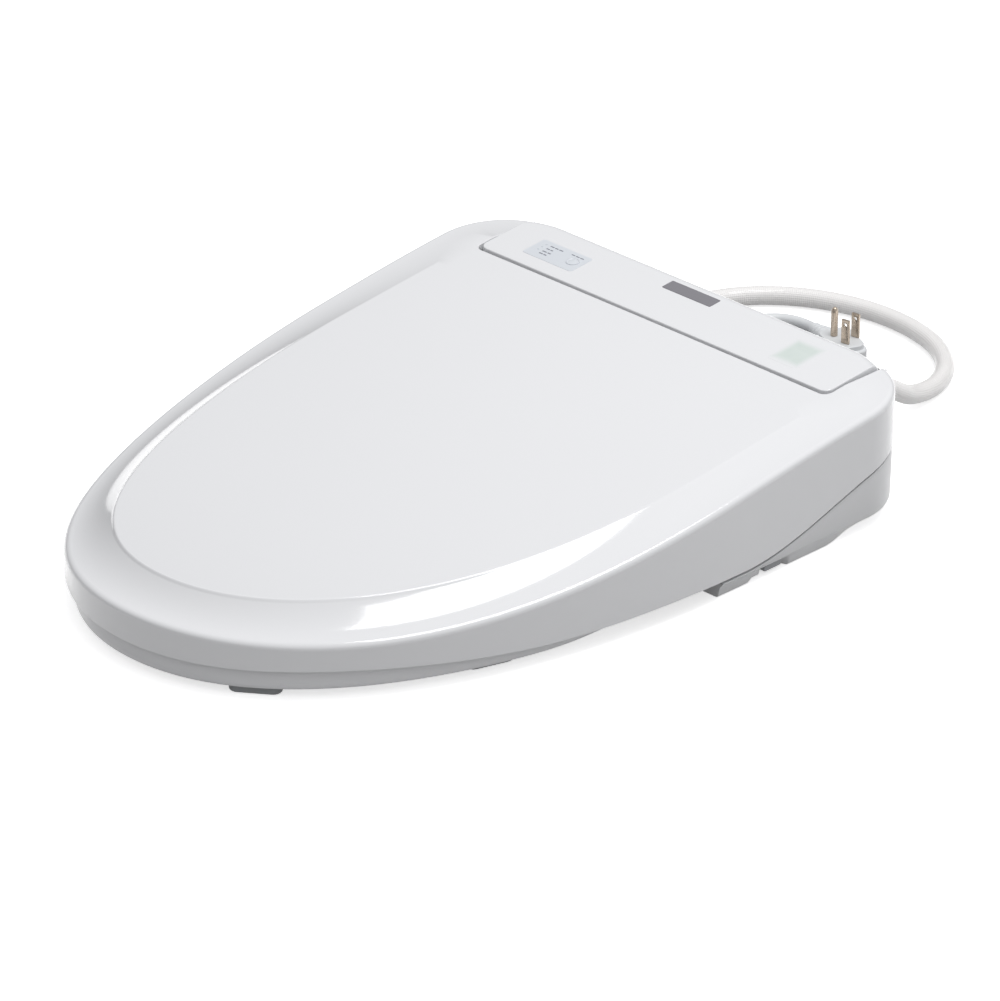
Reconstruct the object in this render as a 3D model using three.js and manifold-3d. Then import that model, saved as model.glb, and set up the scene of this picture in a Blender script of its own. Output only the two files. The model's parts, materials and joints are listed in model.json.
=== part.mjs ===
// Electric bidet seat: a hinged lid and heated seat on a base unit with a washing wand,
// warm-air dryer, deodoriser, water heater, supply hose and power cord.
// Millimetres, +Z up, -Y to the nose of the seat, origin on the floor under the box centre.
import * as THREE from "three";
import { mergeVertices } from "three/addons/utils/BufferGeometryUtils.js";
import Module from "manifold-3d";

const wasm = await Module();
wasm.setup();

// ---------- Driving dimensions ----------
const overallLength = 541; // nose of the lid to the filter cap behind
const width = 396; // across the lid
const filterReach = 11; // how far the filter cap and inlet stand behind the body
const cornerRadius = 51; // rear corners, in plan
const noseBluntness = 117; // sideways reach of the nose curve's handle
const noseToFlankHandle = 139.5; // nose to the handle that turns the curve along the flank
const noseToFlank = 356; // nose to where the flank runs straight
const rimHeights = [43.7, 44.8, 68.9, 89.2]; // lid rim at four even stations, nose to rear
const crownRises = [15, 13, 5.5, 3]; // raised panel above the rim at the same stations
const crownInset = 32; // rim to the edge of the raised panel
const lidWall = 3;
const skirtNoseZ = 21.3; // lower edge of the lid's skirt: at the nose, along the flank, at the rear
const skirtFlankZ = 13.3;
const skirtRearZ = 51;
const bridgeHalfWidth = 159.3;
const bridgeDepth = 58.1;
const bridgeFrontZ = 88.1;
const bridgeRearZ = 92.6;
const seamGap = 2.4; // between lid and bridge, at the front seam
const sideSeamGap = 1.5; // and at its two ends
const hingeInset = 15; // hinge axis ahead of the rear face
const hingeZ = 76;
const pinRadius = 4.5;
const baseDepth = 193.5;
const baseWall = 2.5;
const coverWall = 2.5;
const shadowGap = 1.8; // between the skirt's lower edge and the base's upper edge
const seatInset = 5.5; // seat behind the lid's outer face
const seatShell = 3;
const seatFloorZ = 6; // underside of the seat along the bowl
const holeHalfWidth = 105;
const holeFrontReach = 150;
const holeRearReach = 110;
const wandRadius = 5.5;
const wandRearSpace = 31.5; // behind the wand, inside the base unit
const wandSlope = (3.5 * Math.PI) / 180;
const fit = 0.3; // clearance between pieces that touch
const cordRadius = 3.7;
const hoseRadius = 6.75;

// ---------- Places worked out from them ----------
const frontY = -overallLength / 2;
const rearY = overallLength / 2 - filterReach;
const halfWidth = width / 2;
const bodyLength = rearY - frontY;
const bridgeFrontY = rearY - bridgeDepth;
const seamY = bridgeFrontY - seamGap;
const notchHalfWidth = bridgeHalfWidth + sideSeamGap;
const hingeY = rearY - hingeInset;
const baseFrontY = rearY - baseDepth;
const coverFrontY = baseFrontY + baseWall;
const seatRearY = seamY - 4;
const holeY = frontY + 235;
const skirtRiseStart = baseFrontY + 19;
const wandLength = baseDepth - wandRearSpace;

// ---------- Finishes ----------
function finish(color, roughness, metalness = 0) {
  return new THREE.MeshStandardMaterial({ color, roughness, metalness });
}

const glossWhite = finish(0xf2f3f5, 0.12);
const satinWhite = finish(0xe6e7ea, 0.35);
const greyPlastic = finish(0x9a9da1, 0.5);
const darkPlastic = finish(0x2a2b2e, 0.45);
const badgeGrey = finish(0x76777b, 0.4);
const labelGrey = finish(0xcfd2d6, 0.4);
const windowTint = finish(0xd7dedb, 0.2);
const paleRubber = finish(0xb9bbbd, 0.75);
const whiteHose = finish(0xe9e7e3, 0.5);
const chrome = finish(0xd9dadc, 0.12, 1);
const brassNickel = finish(0xb7a58a, 0.3, 1);
const steel = finish(0xa9acb0, 0.35, 1);
const boardGreen = finish(0x2f6b45, 0.5);
const copper = finish(0xb87347, 0.35, 1);

// ---------- Solids ----------
const xAxis = new THREE.Vector3(1, 0, 0);
const yAxis = new THREE.Vector3(0, 1, 0);
const zAxis = new THREE.Vector3(0, 0, 1);

// A closed geometry as a solid that can be joined and cut.
function solid(geometry) {
  const bare = new THREE.BufferGeometry();
  bare.setAttribute("position", geometry.getAttribute("position"));
  bare.setIndex(geometry.index);
  const merged = mergeVertices(bare, 1e-4);
  const vertProperties = merged.getAttribute("position").array;
  const triVerts = new Uint32Array(merged.index.array);
  return new wasm.Manifold(new wasm.Mesh({ numProp: 3, vertProperties, triVerts }));
}

function join(...solids) {
  return solids.reduce((whole, piece) => whole.add(piece));
}

function cut(whole, ...tools) {
  return tools.reduce((rest, tool) => rest.subtract(tool), whole);
}

function box(x0, x1, y0, y1, z0, z1) {
  const geometry = new THREE.BoxGeometry(x1 - x0, y1 - y0, z1 - z0);
  geometry.translate((x0 + x1) / 2, (y0 + y1) / 2, (z0 + z1) / 2);
  return solid(geometry);
}

// A rod from one point to another; a second radius makes it taper.
function rod(start, end, radius, sides = 24, endRadius = radius) {
  const run = end.clone().sub(start);
  const geometry = new THREE.CylinderGeometry(endRadius, radius, run.length(), sides);
  const turn = new THREE.Quaternion().setFromUnitVectors(yAxis, run.clone().normalize());
  geometry.applyQuaternion(turn);
  const middle = start.clone().add(end).multiplyScalar(0.5);
  geometry.translate(middle.x, middle.y, middle.z);
  return solid(geometry);
}

function extruded(shape, depth, curveSegments = 6) {
  return new THREE.ExtrudeGeometry(shape, { depth, bevelEnabled: false, curveSegments });
}

// A shape drawn in the side view (y, z), running across from x0 to x1.
function acrossX(shape, x0, x1) {
  const geometry = extruded(shape, x1 - x0);
  geometry.applyMatrix4(new THREE.Matrix4().makeBasis(yAxis, zAxis, xAxis));
  geometry.translate(x0, 0, 0);
  return solid(geometry);
}

// A shape drawn in plan, standing from z0 to z1.
function upright(shape, z0, z1, curveSegments = 6) {
  const geometry = extruded(shape, z1 - z0, curveSegments);
  geometry.translate(0, 0, z0);
  return solid(geometry);
}

function polygon(points) {
  return new THREE.Shape(points.map(([a, b]) => new THREE.Vector2(a, b)));
}

// A rectangle with one radius at all corners, centred on (x, y).
function roundedRectangle(x, y, sizeX, sizeY, radius) {
  const shape = new THREE.Shape();
  const right = x + sizeX / 2 - radius;
  const left = x - sizeX / 2 + radius;
  const far = y + sizeY / 2 - radius;
  const near = y - sizeY / 2 + radius;
  shape.absarc(right, near, radius, -Math.PI / 2, 0);
  shape.absarc(right, far, radius, 0, Math.PI / 2);
  shape.absarc(left, far, radius, Math.PI / 2, Math.PI);
  shape.absarc(left, near, radius, Math.PI, 1.5 * Math.PI);
  shape.closePath();
  return shape;
}

// ---------- Body outline and lofts ----------
const nose = new THREE.CubicBezierCurve(
  new THREE.Vector2(0, frontY),
  new THREE.Vector2(noseBluntness, frontY),
  new THREE.Vector2(halfWidth, frontY + noseToFlankHandle),
  new THREE.Vector2(halfWidth, frontY + noseToFlank),
);
const flankStep = 17; // longest stretch between stations along the flank

// Half the plan outline, nose to middle of the rear, as points with outward normals.
function halfOutline(rear, corner) {
  const flank = new THREE.LineCurve(
    new THREE.Vector2(halfWidth, frontY + noseToFlank),
    new THREE.Vector2(halfWidth, rear - corner),
  );
  const turn = new THREE.EllipseCurve(
    halfWidth - corner, rear - corner, corner, corner, 0, Math.PI / 2,
  );
  const back = new THREE.LineCurve(
    new THREE.Vector2(halfWidth - corner, rear),
    new THREE.Vector2(0, rear),
  );
  const flankSteps = Math.ceil(flank.getLength() / flankStep);
  const runs = [[nose, 16], [flank, flankSteps], [turn, 7], [back, 1]];
  const stations = [];
  for (const [curve, steps] of runs) {
    for (let step = 0; step < steps; step += 1) {
      const along = step / steps;
      const point = curve.getPoint(along);
      const tangent = curve.getTangent(along);
      stations.push({ point, normal: new THREE.Vector2(tangent.y, -tangent.x) });
    }
  }
  stations.push({ point: new THREE.Vector2(0, rear), normal: new THREE.Vector2(0, 1) });
  return stations;
}

// The closed ring at one inset from the outline; height is a number or a function of y.
function outlineRing(stations, inset, height) {
  const right = stations.map(({ point, normal }) => {
    const x = Math.max(0, point.x - inset * normal.x);
    const y = point.y - inset * normal.y;
    return new THREE.Vector3(x, y, typeof height === "number" ? height : height(y));
  });
  const inner = right.slice(1, -1).reverse();
  const left = inner.map((corner) => new THREE.Vector3(-corner.x, corner.y, corner.z));
  return [...right, ...left];
}

// Triangles across a ring that mirrors about x = 0, rung by rung.
function ladder(start, count, facingUp) {
  const faces = [];
  const half = count / 2;
  const add = (a, b, c) => faces.push(...(facingUp ? [a, b, c] : [a, c, b]));
  for (let rung = 0; rung < half; rung += 1) {
    const right = start + rung;
    const nextRight = start + rung + 1;
    const left = start + ((count - rung) % count);
    const nextLeft = start + count - rung - 1;
    if (rung < half - 1) add(right, nextRight, nextLeft);
    if (rung === half - 1) add(right, nextRight, left);
    if (rung > 0 && rung < half - 1) add(right, nextLeft, left);
  }
  return faces;
}

// A skin through a row of rings; it closes on itself, or is capped at both ends.
function loft(rings, closesOnItself = false) {
  const count = rings[0].length;
  const points = rings.flat();
  const faces = [];
  const strips = closesOnItself ? rings.length : rings.length - 1;
  for (let strip = 0; strip < strips; strip += 1) {
    const low = strip * count;
    const high = ((strip + 1) % rings.length) * count;
    for (let i = 0; i < count; i += 1) {
      const j = (i + 1) % count;
      faces.push(low + i, low + j, high + j, low + i, high + j, high + i);
    }
  }
  if (!closesOnItself) {
    faces.push(...ladder(0, count, false));
    faces.push(...ladder((rings.length - 1) * count, count, true));
  }
  const geometry = new THREE.BufferGeometry().setFromPoints(points);
  geometry.setIndex(faces);
  return solid(geometry);
}

// ---------- Height lines, as functions of y ----------
// The cubic through four values at even stations from nose to rear.
function throughStations(values, y) {
  const t = (3 * (y - frontY)) / bodyLength;
  return values.reduce((sum, value, i) => {
    let weight = value;
    for (let k = 0; k < 4; k += 1) {
      if (k !== i) weight *= (t - k) / (i - k);
    }
    return sum + weight;
  }, 0);
}

function rimZ(y) {
  return throughStations(rimHeights, y);
}

// Lid surface at a depth inward from the rim: a cove that steepens up to the raised panel.
function lidZ(y, inset) {
  const rise = throughStations(crownRises, y);
  return rimZ(y) + rise * (inset / crownInset) ** 1.8;
}

function skirtZ(y) {
  const nose = 1 - THREE.MathUtils.smoothstep(y, frontY + 40, frontY + 220);
  const rear = THREE.MathUtils.smoothstep(y, skirtRiseStart, rearY + 2.5);
  return skirtFlankZ + nose * (skirtNoseZ - skirtFlankZ) + rear * (skirtRearZ - skirtFlankZ);
}

function baseTopZ(y) {
  return skirtZ(y) - shadowGap;
}

// The seat's underside follows the bowl, then climbs over the base unit.
const climbLength = 146;
const climbRise = 27;
const climbOverBase = 17;
const seatClimbStart = baseFrontY - climbLength;

function seatBottomZ(y) {
  if (y < seatClimbStart) return seatFloorZ;
  if (y < baseFrontY) return seatFloorZ + climbRise * ((y - seatClimbStart) / climbLength) ** 2;
  const along = (y - baseFrontY) / (seatRearY - baseFrontY);
  return seatFloorZ + climbRise + climbOverBase * along;
}

const seatThickness = 14.5; // over the base unit
const seatNoseThickness = 28;

function seatTopZ(y) {
  const thinning = THREE.MathUtils.smoothstep(y, seatClimbStart, baseFrontY);
  const thickness = seatNoseThickness + thinning * (seatThickness - seatNoseThickness);
  return seatBottomZ(y) + thickness;
}

// Deck of the cover, under the rear of the seat.
function deckZ(y) {
  const along = THREE.MathUtils.clamp((y - coverFrontY) / (seamY - coverFrontY), 0, 1);
  return deckFrontZ + along * (deckRearZ - deckFrontZ);
}

const bodyStations = halfOutline(rearY, cornerRadius);
const seatStations = halfOutline(seatRearY + seatInset, 20);

function bodyRing(inset, height) {
  return outlineRing(bodyStations, inset, height);
}

// ---------- Lid ----------
function lidRings(offset, skirtEdge) {
  const at = (inset, drop = 0) =>
    bodyRing(inset + offset, (y) => lidZ(y, inset) - offset - drop);
  return [
    bodyRing(offset, skirtEdge),
    bodyRing(offset, (y) => rimZ(y) - 4 - 0.6 * offset),
    at(1.2, 1.4),
    at(4),
    at(12),
    at(20),
    at(27),
    bodyRing(crownInset, (y) => lidZ(y, crownInset) - offset),
  ];
}

function hingeBore(side, from, to, radius) {
  const start = new THREE.Vector3(side * from, hingeY, hingeZ);
  const end = new THREE.Vector3(side * to, hingeY, hingeZ);
  return rod(start, end, radius);
}

function bothSides(make) {
  return join(make(-1), make(1));
}

const deckFrontZ = 28; // deck of the cover, under the rear of the seat
const deckRearZ = 38;
const cheekZ = deckRearZ + 1.5; // underside of the walls that close the lid's rear ends

function makeLidShell() {
  const outer = loft(lidRings(0, skirtZ));
  const hollow = lidRings(lidWall, skirtZ).reverse();
  const shell = loft([...hollow, ...lidRings(0, skirtZ)]);
  const notchLength = rearY - seamY + 40;
  const notch = upright(
    roundedRectangle(0, seamY + notchLength / 2, 2 * notchHalfWidth, notchLength, 6), 0, 120,
  );
  const cheek = (side) => {
    const inner = side * notchHalfWidth;
    const outerX = side * (notchHalfWidth + lidWall);
    const slab = box(Math.min(inner, outerX), Math.max(inner, outerX), seamY, rearY, cheekZ, 100);
    return slab.intersect(outer);
  };
  const bores = bothSides((side) => hingeBore(side, 150, 170, pinRadius + fit));
  return cut(join(cut(shell, notch), bothSides(cheek)), bores);
}

const lidBumperY = frontY + 80;
const lidBumperX = 60;

function makeLidBumper(side) {
  const bottom = seatTopZ(lidBumperY) + fit;
  const top = lidZ(lidBumperY, crownInset) - lidWall - 2 * fit;
  const foot = new THREE.Vector3(side * lidBumperX, lidBumperY, bottom);
  const head = new THREE.Vector3(side * lidBumperX, lidBumperY, top);
  return rod(foot, head, 6, 16, 7.5);
}

// ---------- Seat ----------
// The opening's ring, its points in line with the outline's; grow is positive outward.
function holeRing(grow, height) {
  return outlineRing(seatStations, 0, 0).map((corner) => {
    const ahead = corner.y - holeY;
    const reach = ahead < 0 ? holeFrontReach : holeRearReach;
    const scale = 1 / Math.hypot(corner.x / (holeHalfWidth + grow), ahead / (reach + grow));
    const y = holeY + ahead * scale;
    return new THREE.Vector3(corner.x * scale, y, height(y));
  });
}

function seatRing(inset, height) {
  return outlineRing(seatStations, inset, height);
}

function above(line, rise) {
  return (y) => line(y) + rise;
}

// A ring part of the way from the seat's edge to its opening.
function betweenRing(share, height) {
  const inner = holeRing(22, () => 0);
  return seatRing(seatInset + 12, 0).map((corner, i) => {
    const point = corner.lerp(inner[i], share);
    point.z = height(point.y);
    return point;
  });
}

function makeSeatTop() {
  return loft([
    seatRing(seatInset, seatBottomZ),
    seatRing(seatInset + 0.6, above(seatTopZ, -7)),
    seatRing(seatInset + 3, above(seatTopZ, -2)),
    seatRing(seatInset + 12, seatTopZ),
    betweenRing(0.3, above(seatTopZ, -0.2)),
    betweenRing(0.7, above(seatTopZ, -0.6)),
    holeRing(22, above(seatTopZ, -1.2)),
    holeRing(6, above(seatTopZ, -4)),
    holeRing(0, above(seatTopZ, -9)),
    holeRing(0, seatBottomZ),
    holeRing(seatShell, seatBottomZ),
    holeRing(seatShell, above(seatTopZ, -11)),
    holeRing(22, above(seatTopZ, -1.2 - seatShell)),
    betweenRing(0.7, above(seatTopZ, -0.6 - seatShell)),
    betweenRing(0.3, above(seatTopZ, -0.2 - seatShell)),
    seatRing(seatInset + 12, above(seatTopZ, -seatShell)),
    seatRing(seatInset + 4.2, above(seatTopZ, -9)),
    seatRing(seatInset + seatShell, seatBottomZ),
  ], true);
}

const seatPlateThickness = 2.4;

function makeSeatPlate() {
  const gap = seatShell + fit;
  return loft([
    seatRing(seatInset + gap, seatBottomZ),
    seatRing(seatInset + gap + 0.8, above(seatBottomZ, seatPlateThickness)),
    betweenRing(0.3, above(seatBottomZ, seatPlateThickness)),
    betweenRing(0.7, above(seatBottomZ, seatPlateThickness)),
    holeRing(gap, above(seatBottomZ, seatPlateThickness)),
    holeRing(gap, seatBottomZ),
    betweenRing(0.7, seatBottomZ),
    betweenRing(0.3, seatBottomZ),
  ], true);
}

function makeSeatHeater() {
  const under = -seatShell - 3.9;
  return loft([
    seatRing(seatInset + 16, above(seatTopZ, under)),
    seatRing(seatInset + 16, above(seatTopZ, under + 0.8)),
    betweenRing(0.3, above(seatTopZ, under + 0.6)),
    betweenRing(0.7, above(seatTopZ, under + 0.2)),
    holeRing(24, above(seatTopZ, under + 0.2)),
    holeRing(24, above(seatTopZ, under - 0.6)),
    betweenRing(0.7, above(seatTopZ, under - 0.6)),
    betweenRing(0.3, above(seatTopZ, under - 0.2)),
  ], true);
}

// Each pad lies under the seat's edge: its place along the nose curve and inward from it.
const seatBumpers = [
  { name: "seat_bumper_front", along: 0.27, inset: 16 },
  { name: "seat_bumper_rear", along: 0.66, inset: 21 },
];

function makeSeatBumper(side, { along, inset }) {
  const point = nose.getPoint(along);
  const tangent = nose.getTangent(along);
  const pad = extruded(roundedRectangle(0, 0, 34, 13, 6), seatFloorZ - fit);
  pad.rotateZ(side * Math.atan2(tangent.y, tangent.x));
  pad.translate(side * (point.x - inset * tangent.y), point.y + inset * tangent.x, 0);
  return solid(pad);
}

// Arm from the rear of the seat up to its pin, inside the hollow ends of the lid.
const armInnerX = notchHalfWidth + lidWall + 0.6;
const armOuterX = armInnerX + 4.6;
const armBossRadius = 6.2;

function makeSeatArm(side) {
  const startY = seatRearY + fit;
  const shape = new THREE.Shape();
  shape.moveTo(startY, seatBottomZ(seatRearY) + 1);
  shape.lineTo(hingeY - 4, hingeZ - armBossRadius);
  shape.absarc(hingeY, hingeZ, armBossRadius, -Math.PI / 2, Math.PI / 2 + 0.4);
  shape.lineTo(startY, seatTopZ(seatRearY) - 2);
  shape.closePath();
  const x0 = side < 0 ? -armOuterX : armInnerX;
  const arm = acrossX(shape, x0, x0 + armOuterX - armInnerX);
  return cut(arm, hingeBore(side, armInnerX - 2, armOuterX + 2, pinRadius + fit));
}

function makeHingePin(side) {
  return hingeBore(side, bridgeHalfWidth - 11, armOuterX + 1.5, pinRadius);
}

// ---------- Base tray ----------
const trayInset = 0.8;
const bevelRise = 10;
const bevelRun = 13;
const trayFloor = 3;
const plateHalfWidth = 90;
const plateFrontY = rearY - 92;
const plateRearY = rearY - 8;
const plateThickness = 4;

function trayLoft(shrink, floorZ, topRise) {
  return loft([
    bodyRing(bevelRun + shrink, floorZ),
    bodyRing(trayInset + 0.4 + shrink, bevelRise + floorZ / 3),
    bodyRing(trayInset + shrink, above(baseTopZ, topRise)),
  ]);
}

const inletX = 105;
const inletZ = 42;
const inletRadius = 8;
const cordExitX = -85;
const cordExitZ = 36;
const cartridgeY = [rearY - 100, rearY - 62];
const cartridgeZ = [10.5, 21];
const releaseY = [baseFrontY + 43, baseFrontY + 59];
const releaseZ = [2.8, 8.6];
const rearHoleSpan = [rearY - 10, rearY + 2];

function rearHole(x, z, radius) {
  const [from, to] = rearHoleSpan;
  return rod(new THREE.Vector3(x, from, z), new THREE.Vector3(x, to, z), radius);
}

function makeBaseTray() {
  const front = box(-halfWidth, halfWidth, baseFrontY, rearY, -1, 120);
  const inside = box(-halfWidth, halfWidth, coverFrontY, rearY, -1, 120);
  const shell = cut(
    trayLoft(0, 0, 0).intersect(front),
    trayLoft(baseWall, trayFloor, 6).intersect(inside),
  );
  const pocketEdge = plateHalfWidth + fit;
  const hump = box(
    -pocketEdge - 3, pocketEdge + 3, plateFrontY - 3, plateRearY + 3, 1, plateThickness + 3.2,
  );
  const pocket = box(
    -pocketEdge, pocketEdge, plateFrontY - fit, plateRearY + fit, -1, plateThickness + fit,
  );
  const cartridgeSlot = box(
    -halfWidth, -halfWidth + 30,
    cartridgeY[0] - fit, cartridgeY[1] + fit, cartridgeZ[0] - fit, cartridgeZ[1] + fit,
  );
  const releaseSlot = box(
    halfWidth - 30, halfWidth,
    releaseY[0] - fit, releaseY[1] + fit, releaseZ[0] - fit, releaseZ[1] + fit,
  );
  return cut(
    join(shell, hump), pocket, cartridgeSlot, releaseSlot,
    rearHole(inletX, inletZ, inletRadius + fit),
    rearHole(cordExitX, cordExitZ, 6 + fit),
  );
}

// Slide-on plate that clamps the unit to the bowl, with slots for the two bowl bolts.
function makeMountingPlate() {
  const plate = box(-plateHalfWidth, plateHalfWidth, plateFrontY, plateRearY, 0, plateThickness);
  const slot = (side) =>
    upright(roundedRectangle(side * 70, plateRearY - 42, 13, 40, 6), -1, plateThickness + 1);
  return cut(plate, bothSides(slot));
}

// ---------- Cover with the bridge ----------
const bridgeSkirtZ = baseTopZ(rearY) + fit; // underside of the bridge's rear overhang
const bridgeRearInset = 0.6;

function bridgeProfile(inward, footZ) {
  const front = bridgeFrontY + inward;
  const rear = rearY - bridgeRearInset - inward;
  const innerRear = rearY - 6 - inward;
  const lip = bridgeSkirtZ + inward;
  return polygon([
    [front, footZ],
    [innerRear, footZ],
    [innerRear, lip],
    [rear, lip],
    [rear, bridgeRearZ - 8 - inward],
    [rear - 2.5, bridgeRearZ - 2.6 - inward],
    [rear - 8, bridgeRearZ - inward],
    [front, bridgeFrontZ - inward],
  ]);
}

// What lies inside the body's outline: further in below the bridge's rear lip.
function withinOutline(inward) {
  const lip = bridgeSkirtZ + inward;
  return join(
    loft([bodyRing(6 + inward, 0), bodyRing(6 + inward, lip)]),
    loft([bodyRing(bridgeRearInset + inward, lip), bodyRing(bridgeRearInset + inward, 110)]),
  );
}

function bridgeBlock(inward, footZ) {
  const reach = bridgeHalfWidth - inward;
  return acrossX(bridgeProfile(inward, footZ), -reach, reach).intersect(withinOutline(inward));
}

const slopeOfBridge = Math.atan(
  (bridgeRearZ - bridgeFrontZ) / (rearY - bridgeRearInset - 8 - bridgeFrontY),
);

function bridgeTopZ(y) {
  return bridgeFrontZ + Math.tan(slopeOfBridge) * (y - bridgeFrontY);
}

// A flat block let into the sloping top of the bridge.
function onBridge({ x, y, sizeX, sizeY, radius }, low, high, grow = 0) {
  const shape = roundedRectangle(0, 0, sizeX + 2 * grow, sizeY + 2 * grow, radius);
  const block = extruded(shape, high - low, 3);
  block.translate(0, 0, low);
  block.rotateX(slopeOfBridge);
  block.translate(x, y, bridgeTopZ(y));
  return solid(block);
}

const panel = { x: -107.5, y: rearY - 35, sizeX: 46, sizeY: 22, radius: 2 };
const badge = { x: 0, y: rearY - 17.3, sizeX: 44, sizeY: 11, radius: 1 };
const irWindow = { x: 110, y: rearY - 32, sizeX: 24, sizeY: 29, radius: 3 };
const button = { x: -93, y: rearY - 35, sizeX: 10, sizeY: 10, radius: 4.99 };
const insetDepth = 1;
const buttonDepth = 4.5;

const wandX = 0;
const wandTip = new THREE.Vector3(wandX, coverFrontY + 2, 18.7);
const wandRun = new THREE.Vector3(0, Math.cos(wandSlope), Math.sin(wandSlope));

function alongWand(distance) {
  return wandTip.clone().addScaledVector(wandRun, distance);
}

const ductX = [34, 72];
const flapX = [36.4, 69.6];
const flapZ = [13, 24.4];
const filterX = 141;
const filterZ = 66;
const filterStemRadius = 7;
const filterRingRadius = 14;

function makeTopCover() {
  const front = box(-halfWidth, halfWidth, coverFrontY, rearY, -1, 120);
  const inside = box(-halfWidth, halfWidth, coverFrontY + coverWall, rearY, -1, 120);
  const deckInset = 6;
  const footZ = 12;
  const deck = loft([bodyRing(deckInset, footZ), bodyRing(deckInset, deckZ)]);
  const underDeck = loft([
    bodyRing(deckInset + coverWall, footZ - 6),
    bodyRing(deckInset + coverWall, above(deckZ, -coverWall)),
  ]);
  const outer = join(deck.intersect(front), bridgeBlock(0, footZ + 10));
  const hollow = join(underDeck.intersect(inside), bridgeBlock(coverWall, footZ - 4));
  return cut(
    outer, hollow,
    rod(alongWand(-12), alongWand(12), wandRadius + 0.7),
    box(flapX[0] + 2, flapX[1] - 2, coverFrontY - 1, coverFrontY + 4, flapZ[0] + 1, flapZ[1] - 2),
    bothSides((side) => hingeBore(side, 140, 170, pinRadius + fit)),
    rearHole(filterX, filterZ, filterRingRadius + fit),
    rearHole(inletX, inletZ, inletRadius + fit),
    rearHole(cordExitX, cordExitZ, 6 + fit),
    onBridge(panel, -insetDepth - fit, 4, fit),
    onBridge(badge, -insetDepth - fit, 4, fit),
    onBridge(irWindow, -insetDepth - fit, 4, fit),
    onBridge(button, -9, 4, fit),
    box(-halfWidth, -halfWidth + 40, cartridgeY[0] - 1, cartridgeY[1] + 1, 0, cartridgeZ[1] + 1),
  );
}

function makeIndicatorPanel() {
  const plate = onBridge(panel, -insetDepth, 0.2);
  return cut(plate, onBridge(button, -9, 4, fit));
}

function makeBadgePlate() {
  return onBridge(badge, -insetDepth, 0.3);
}

function makeIrWindow() {
  return onBridge(irWindow, -insetDepth, 0.1);
}

function makeCleanButton() {
  return onBridge(button, -buttonDepth, 0.7);
}

// ---------- Washing wand ----------
const shieldThickness = 1.9;

function makeWand() {
  return rod(alongWand(12 + fit), alongWand(wandLength), wandRadius, 20);
}

function makeWandTip() {
  const body = rod(alongWand(0.5), alongWand(12), wandRadius, 20);
  const jets = [3.2, 6.4].map((distance) => {
    const bottom = alongWand(distance);
    const top = bottom.clone().add(new THREE.Vector3(0, 0, 10));
    return rod(bottom, top, 0.8, 8);
  });
  return cut(body, ...jets);
}

function makeWandShield() {
  const y = coverFrontY - fit;
  const plate = box(-9, 9, y - shieldThickness, y, baseTopZ(baseFrontY) + 0.7, wandTip.z + 7);
  const neck = rod(alongWand(-2.6), alongWand(0.5 - fit), 3, 12);
  return join(plate, neck);
}

function makeWandRail() {
  const start = coverFrontY + coverWall + 1;
  const end = alongWand(wandLength + 4).y;
  const low = (y) => wandTip.z + Math.tan(wandSlope) * (y - wandTip.y) - 8.5;
  const shape = polygon([
    [start, low(start)],
    [end, low(end)],
    [end, low(end) + 11],
    [start, low(start) + 11],
  ]);
  const block = acrossX(shape, -10, 10);
  return cut(block, rod(alongWand(-10), alongWand(wandLength + 10), wandRadius + fit, 20));
}

const motorX = 24;

function makeWandMotor() {
  const can = rod(
    new THREE.Vector3(motorX, bridgeFrontY + 14, 30),
    new THREE.Vector3(motorX, bridgeFrontY + 14, 52), 10, 20,
  );
  const shaft = rod(
    new THREE.Vector3(motorX, bridgeFrontY + 14, 51),
    new THREE.Vector3(motorX, bridgeFrontY + 14, 58), 1.5, 8,
  );
  return join(can, shaft);
}

// ---------- Dryer ----------
const fanX = 64;
const fanY = rearY - 30;
const fanRadius = 18;
const blowerZ = [9, 42];
const ductY = [coverFrontY + coverWall + 1, bridgeFrontY + 3];

function makeBlowerHousing() {
  const [low, high] = blowerZ;
  const body = box(fanX - 24, fanX + 24, ductY[1] + fit, rearY - 9, low, high);
  const chamber = rod(
    new THREE.Vector3(fanX, fanY, low + 2), new THREE.Vector3(fanX, fanY, high + 2), fanRadius + 2,
  );
  const outlet = box(ductX[0] + 9, ductX[1] - 4, ductY[1] - 2, fanY, low + 4, low + 12);
  return cut(body, chamber, outlet);
}

const bladeCount = 10;

function makeFanImpeller() {
  const low = blowerZ[0] + 4;
  const disc = rod(new THREE.Vector3(0, 0, low), new THREE.Vector3(0, 0, low + 2), fanRadius);
  const hub = rod(new THREE.Vector3(0, 0, low), new THREE.Vector3(0, 0, low + 24), 5, 16);
  const blades = Array.from({ length: bladeCount }, (_, i) => {
    const blade = new THREE.BoxGeometry(5, 1.2, 19);
    blade.translate(fanRadius - 3.5, 0, low + 10.5);
    blade.rotateZ((2 * Math.PI * i) / bladeCount);
    return solid(blade);
  });
  return join(disc, hub, ...blades).translate([fanX, fanY, 0]);
}

function makeFanMotor() {
  const low = blowerZ[1] + fit;
  return rod(
    new THREE.Vector3(fanX, fanY, low), new THREE.Vector3(fanX, fanY, low + 20), 15, 20,
  );
}

function makeDryerDuct() {
  const shape = (grow) => {
    const [start, end] = [ductY[0] - grow, ductY[1] + grow];
    const wall = grow > 0 ? 1.5 : 0;
    return polygon([
      [start, 11 + wall],
      [end, 11 + wall],
      [end, 24.5 - wall],
      [start, 24.5 - wall],
    ]);
  };
  const tube = acrossX(shape(0), ductX[0], ductX[1]);
  return cut(tube, acrossX(shape(2), ductX[0] + 1.5, ductX[1] - 1.5));
}

const flapThickness = 1.5;

function makeDryerFlap() {
  const y = coverFrontY - fit;
  return box(flapX[0], flapX[1], y - flapThickness, y, flapZ[0], flapZ[1]);
}

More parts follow.
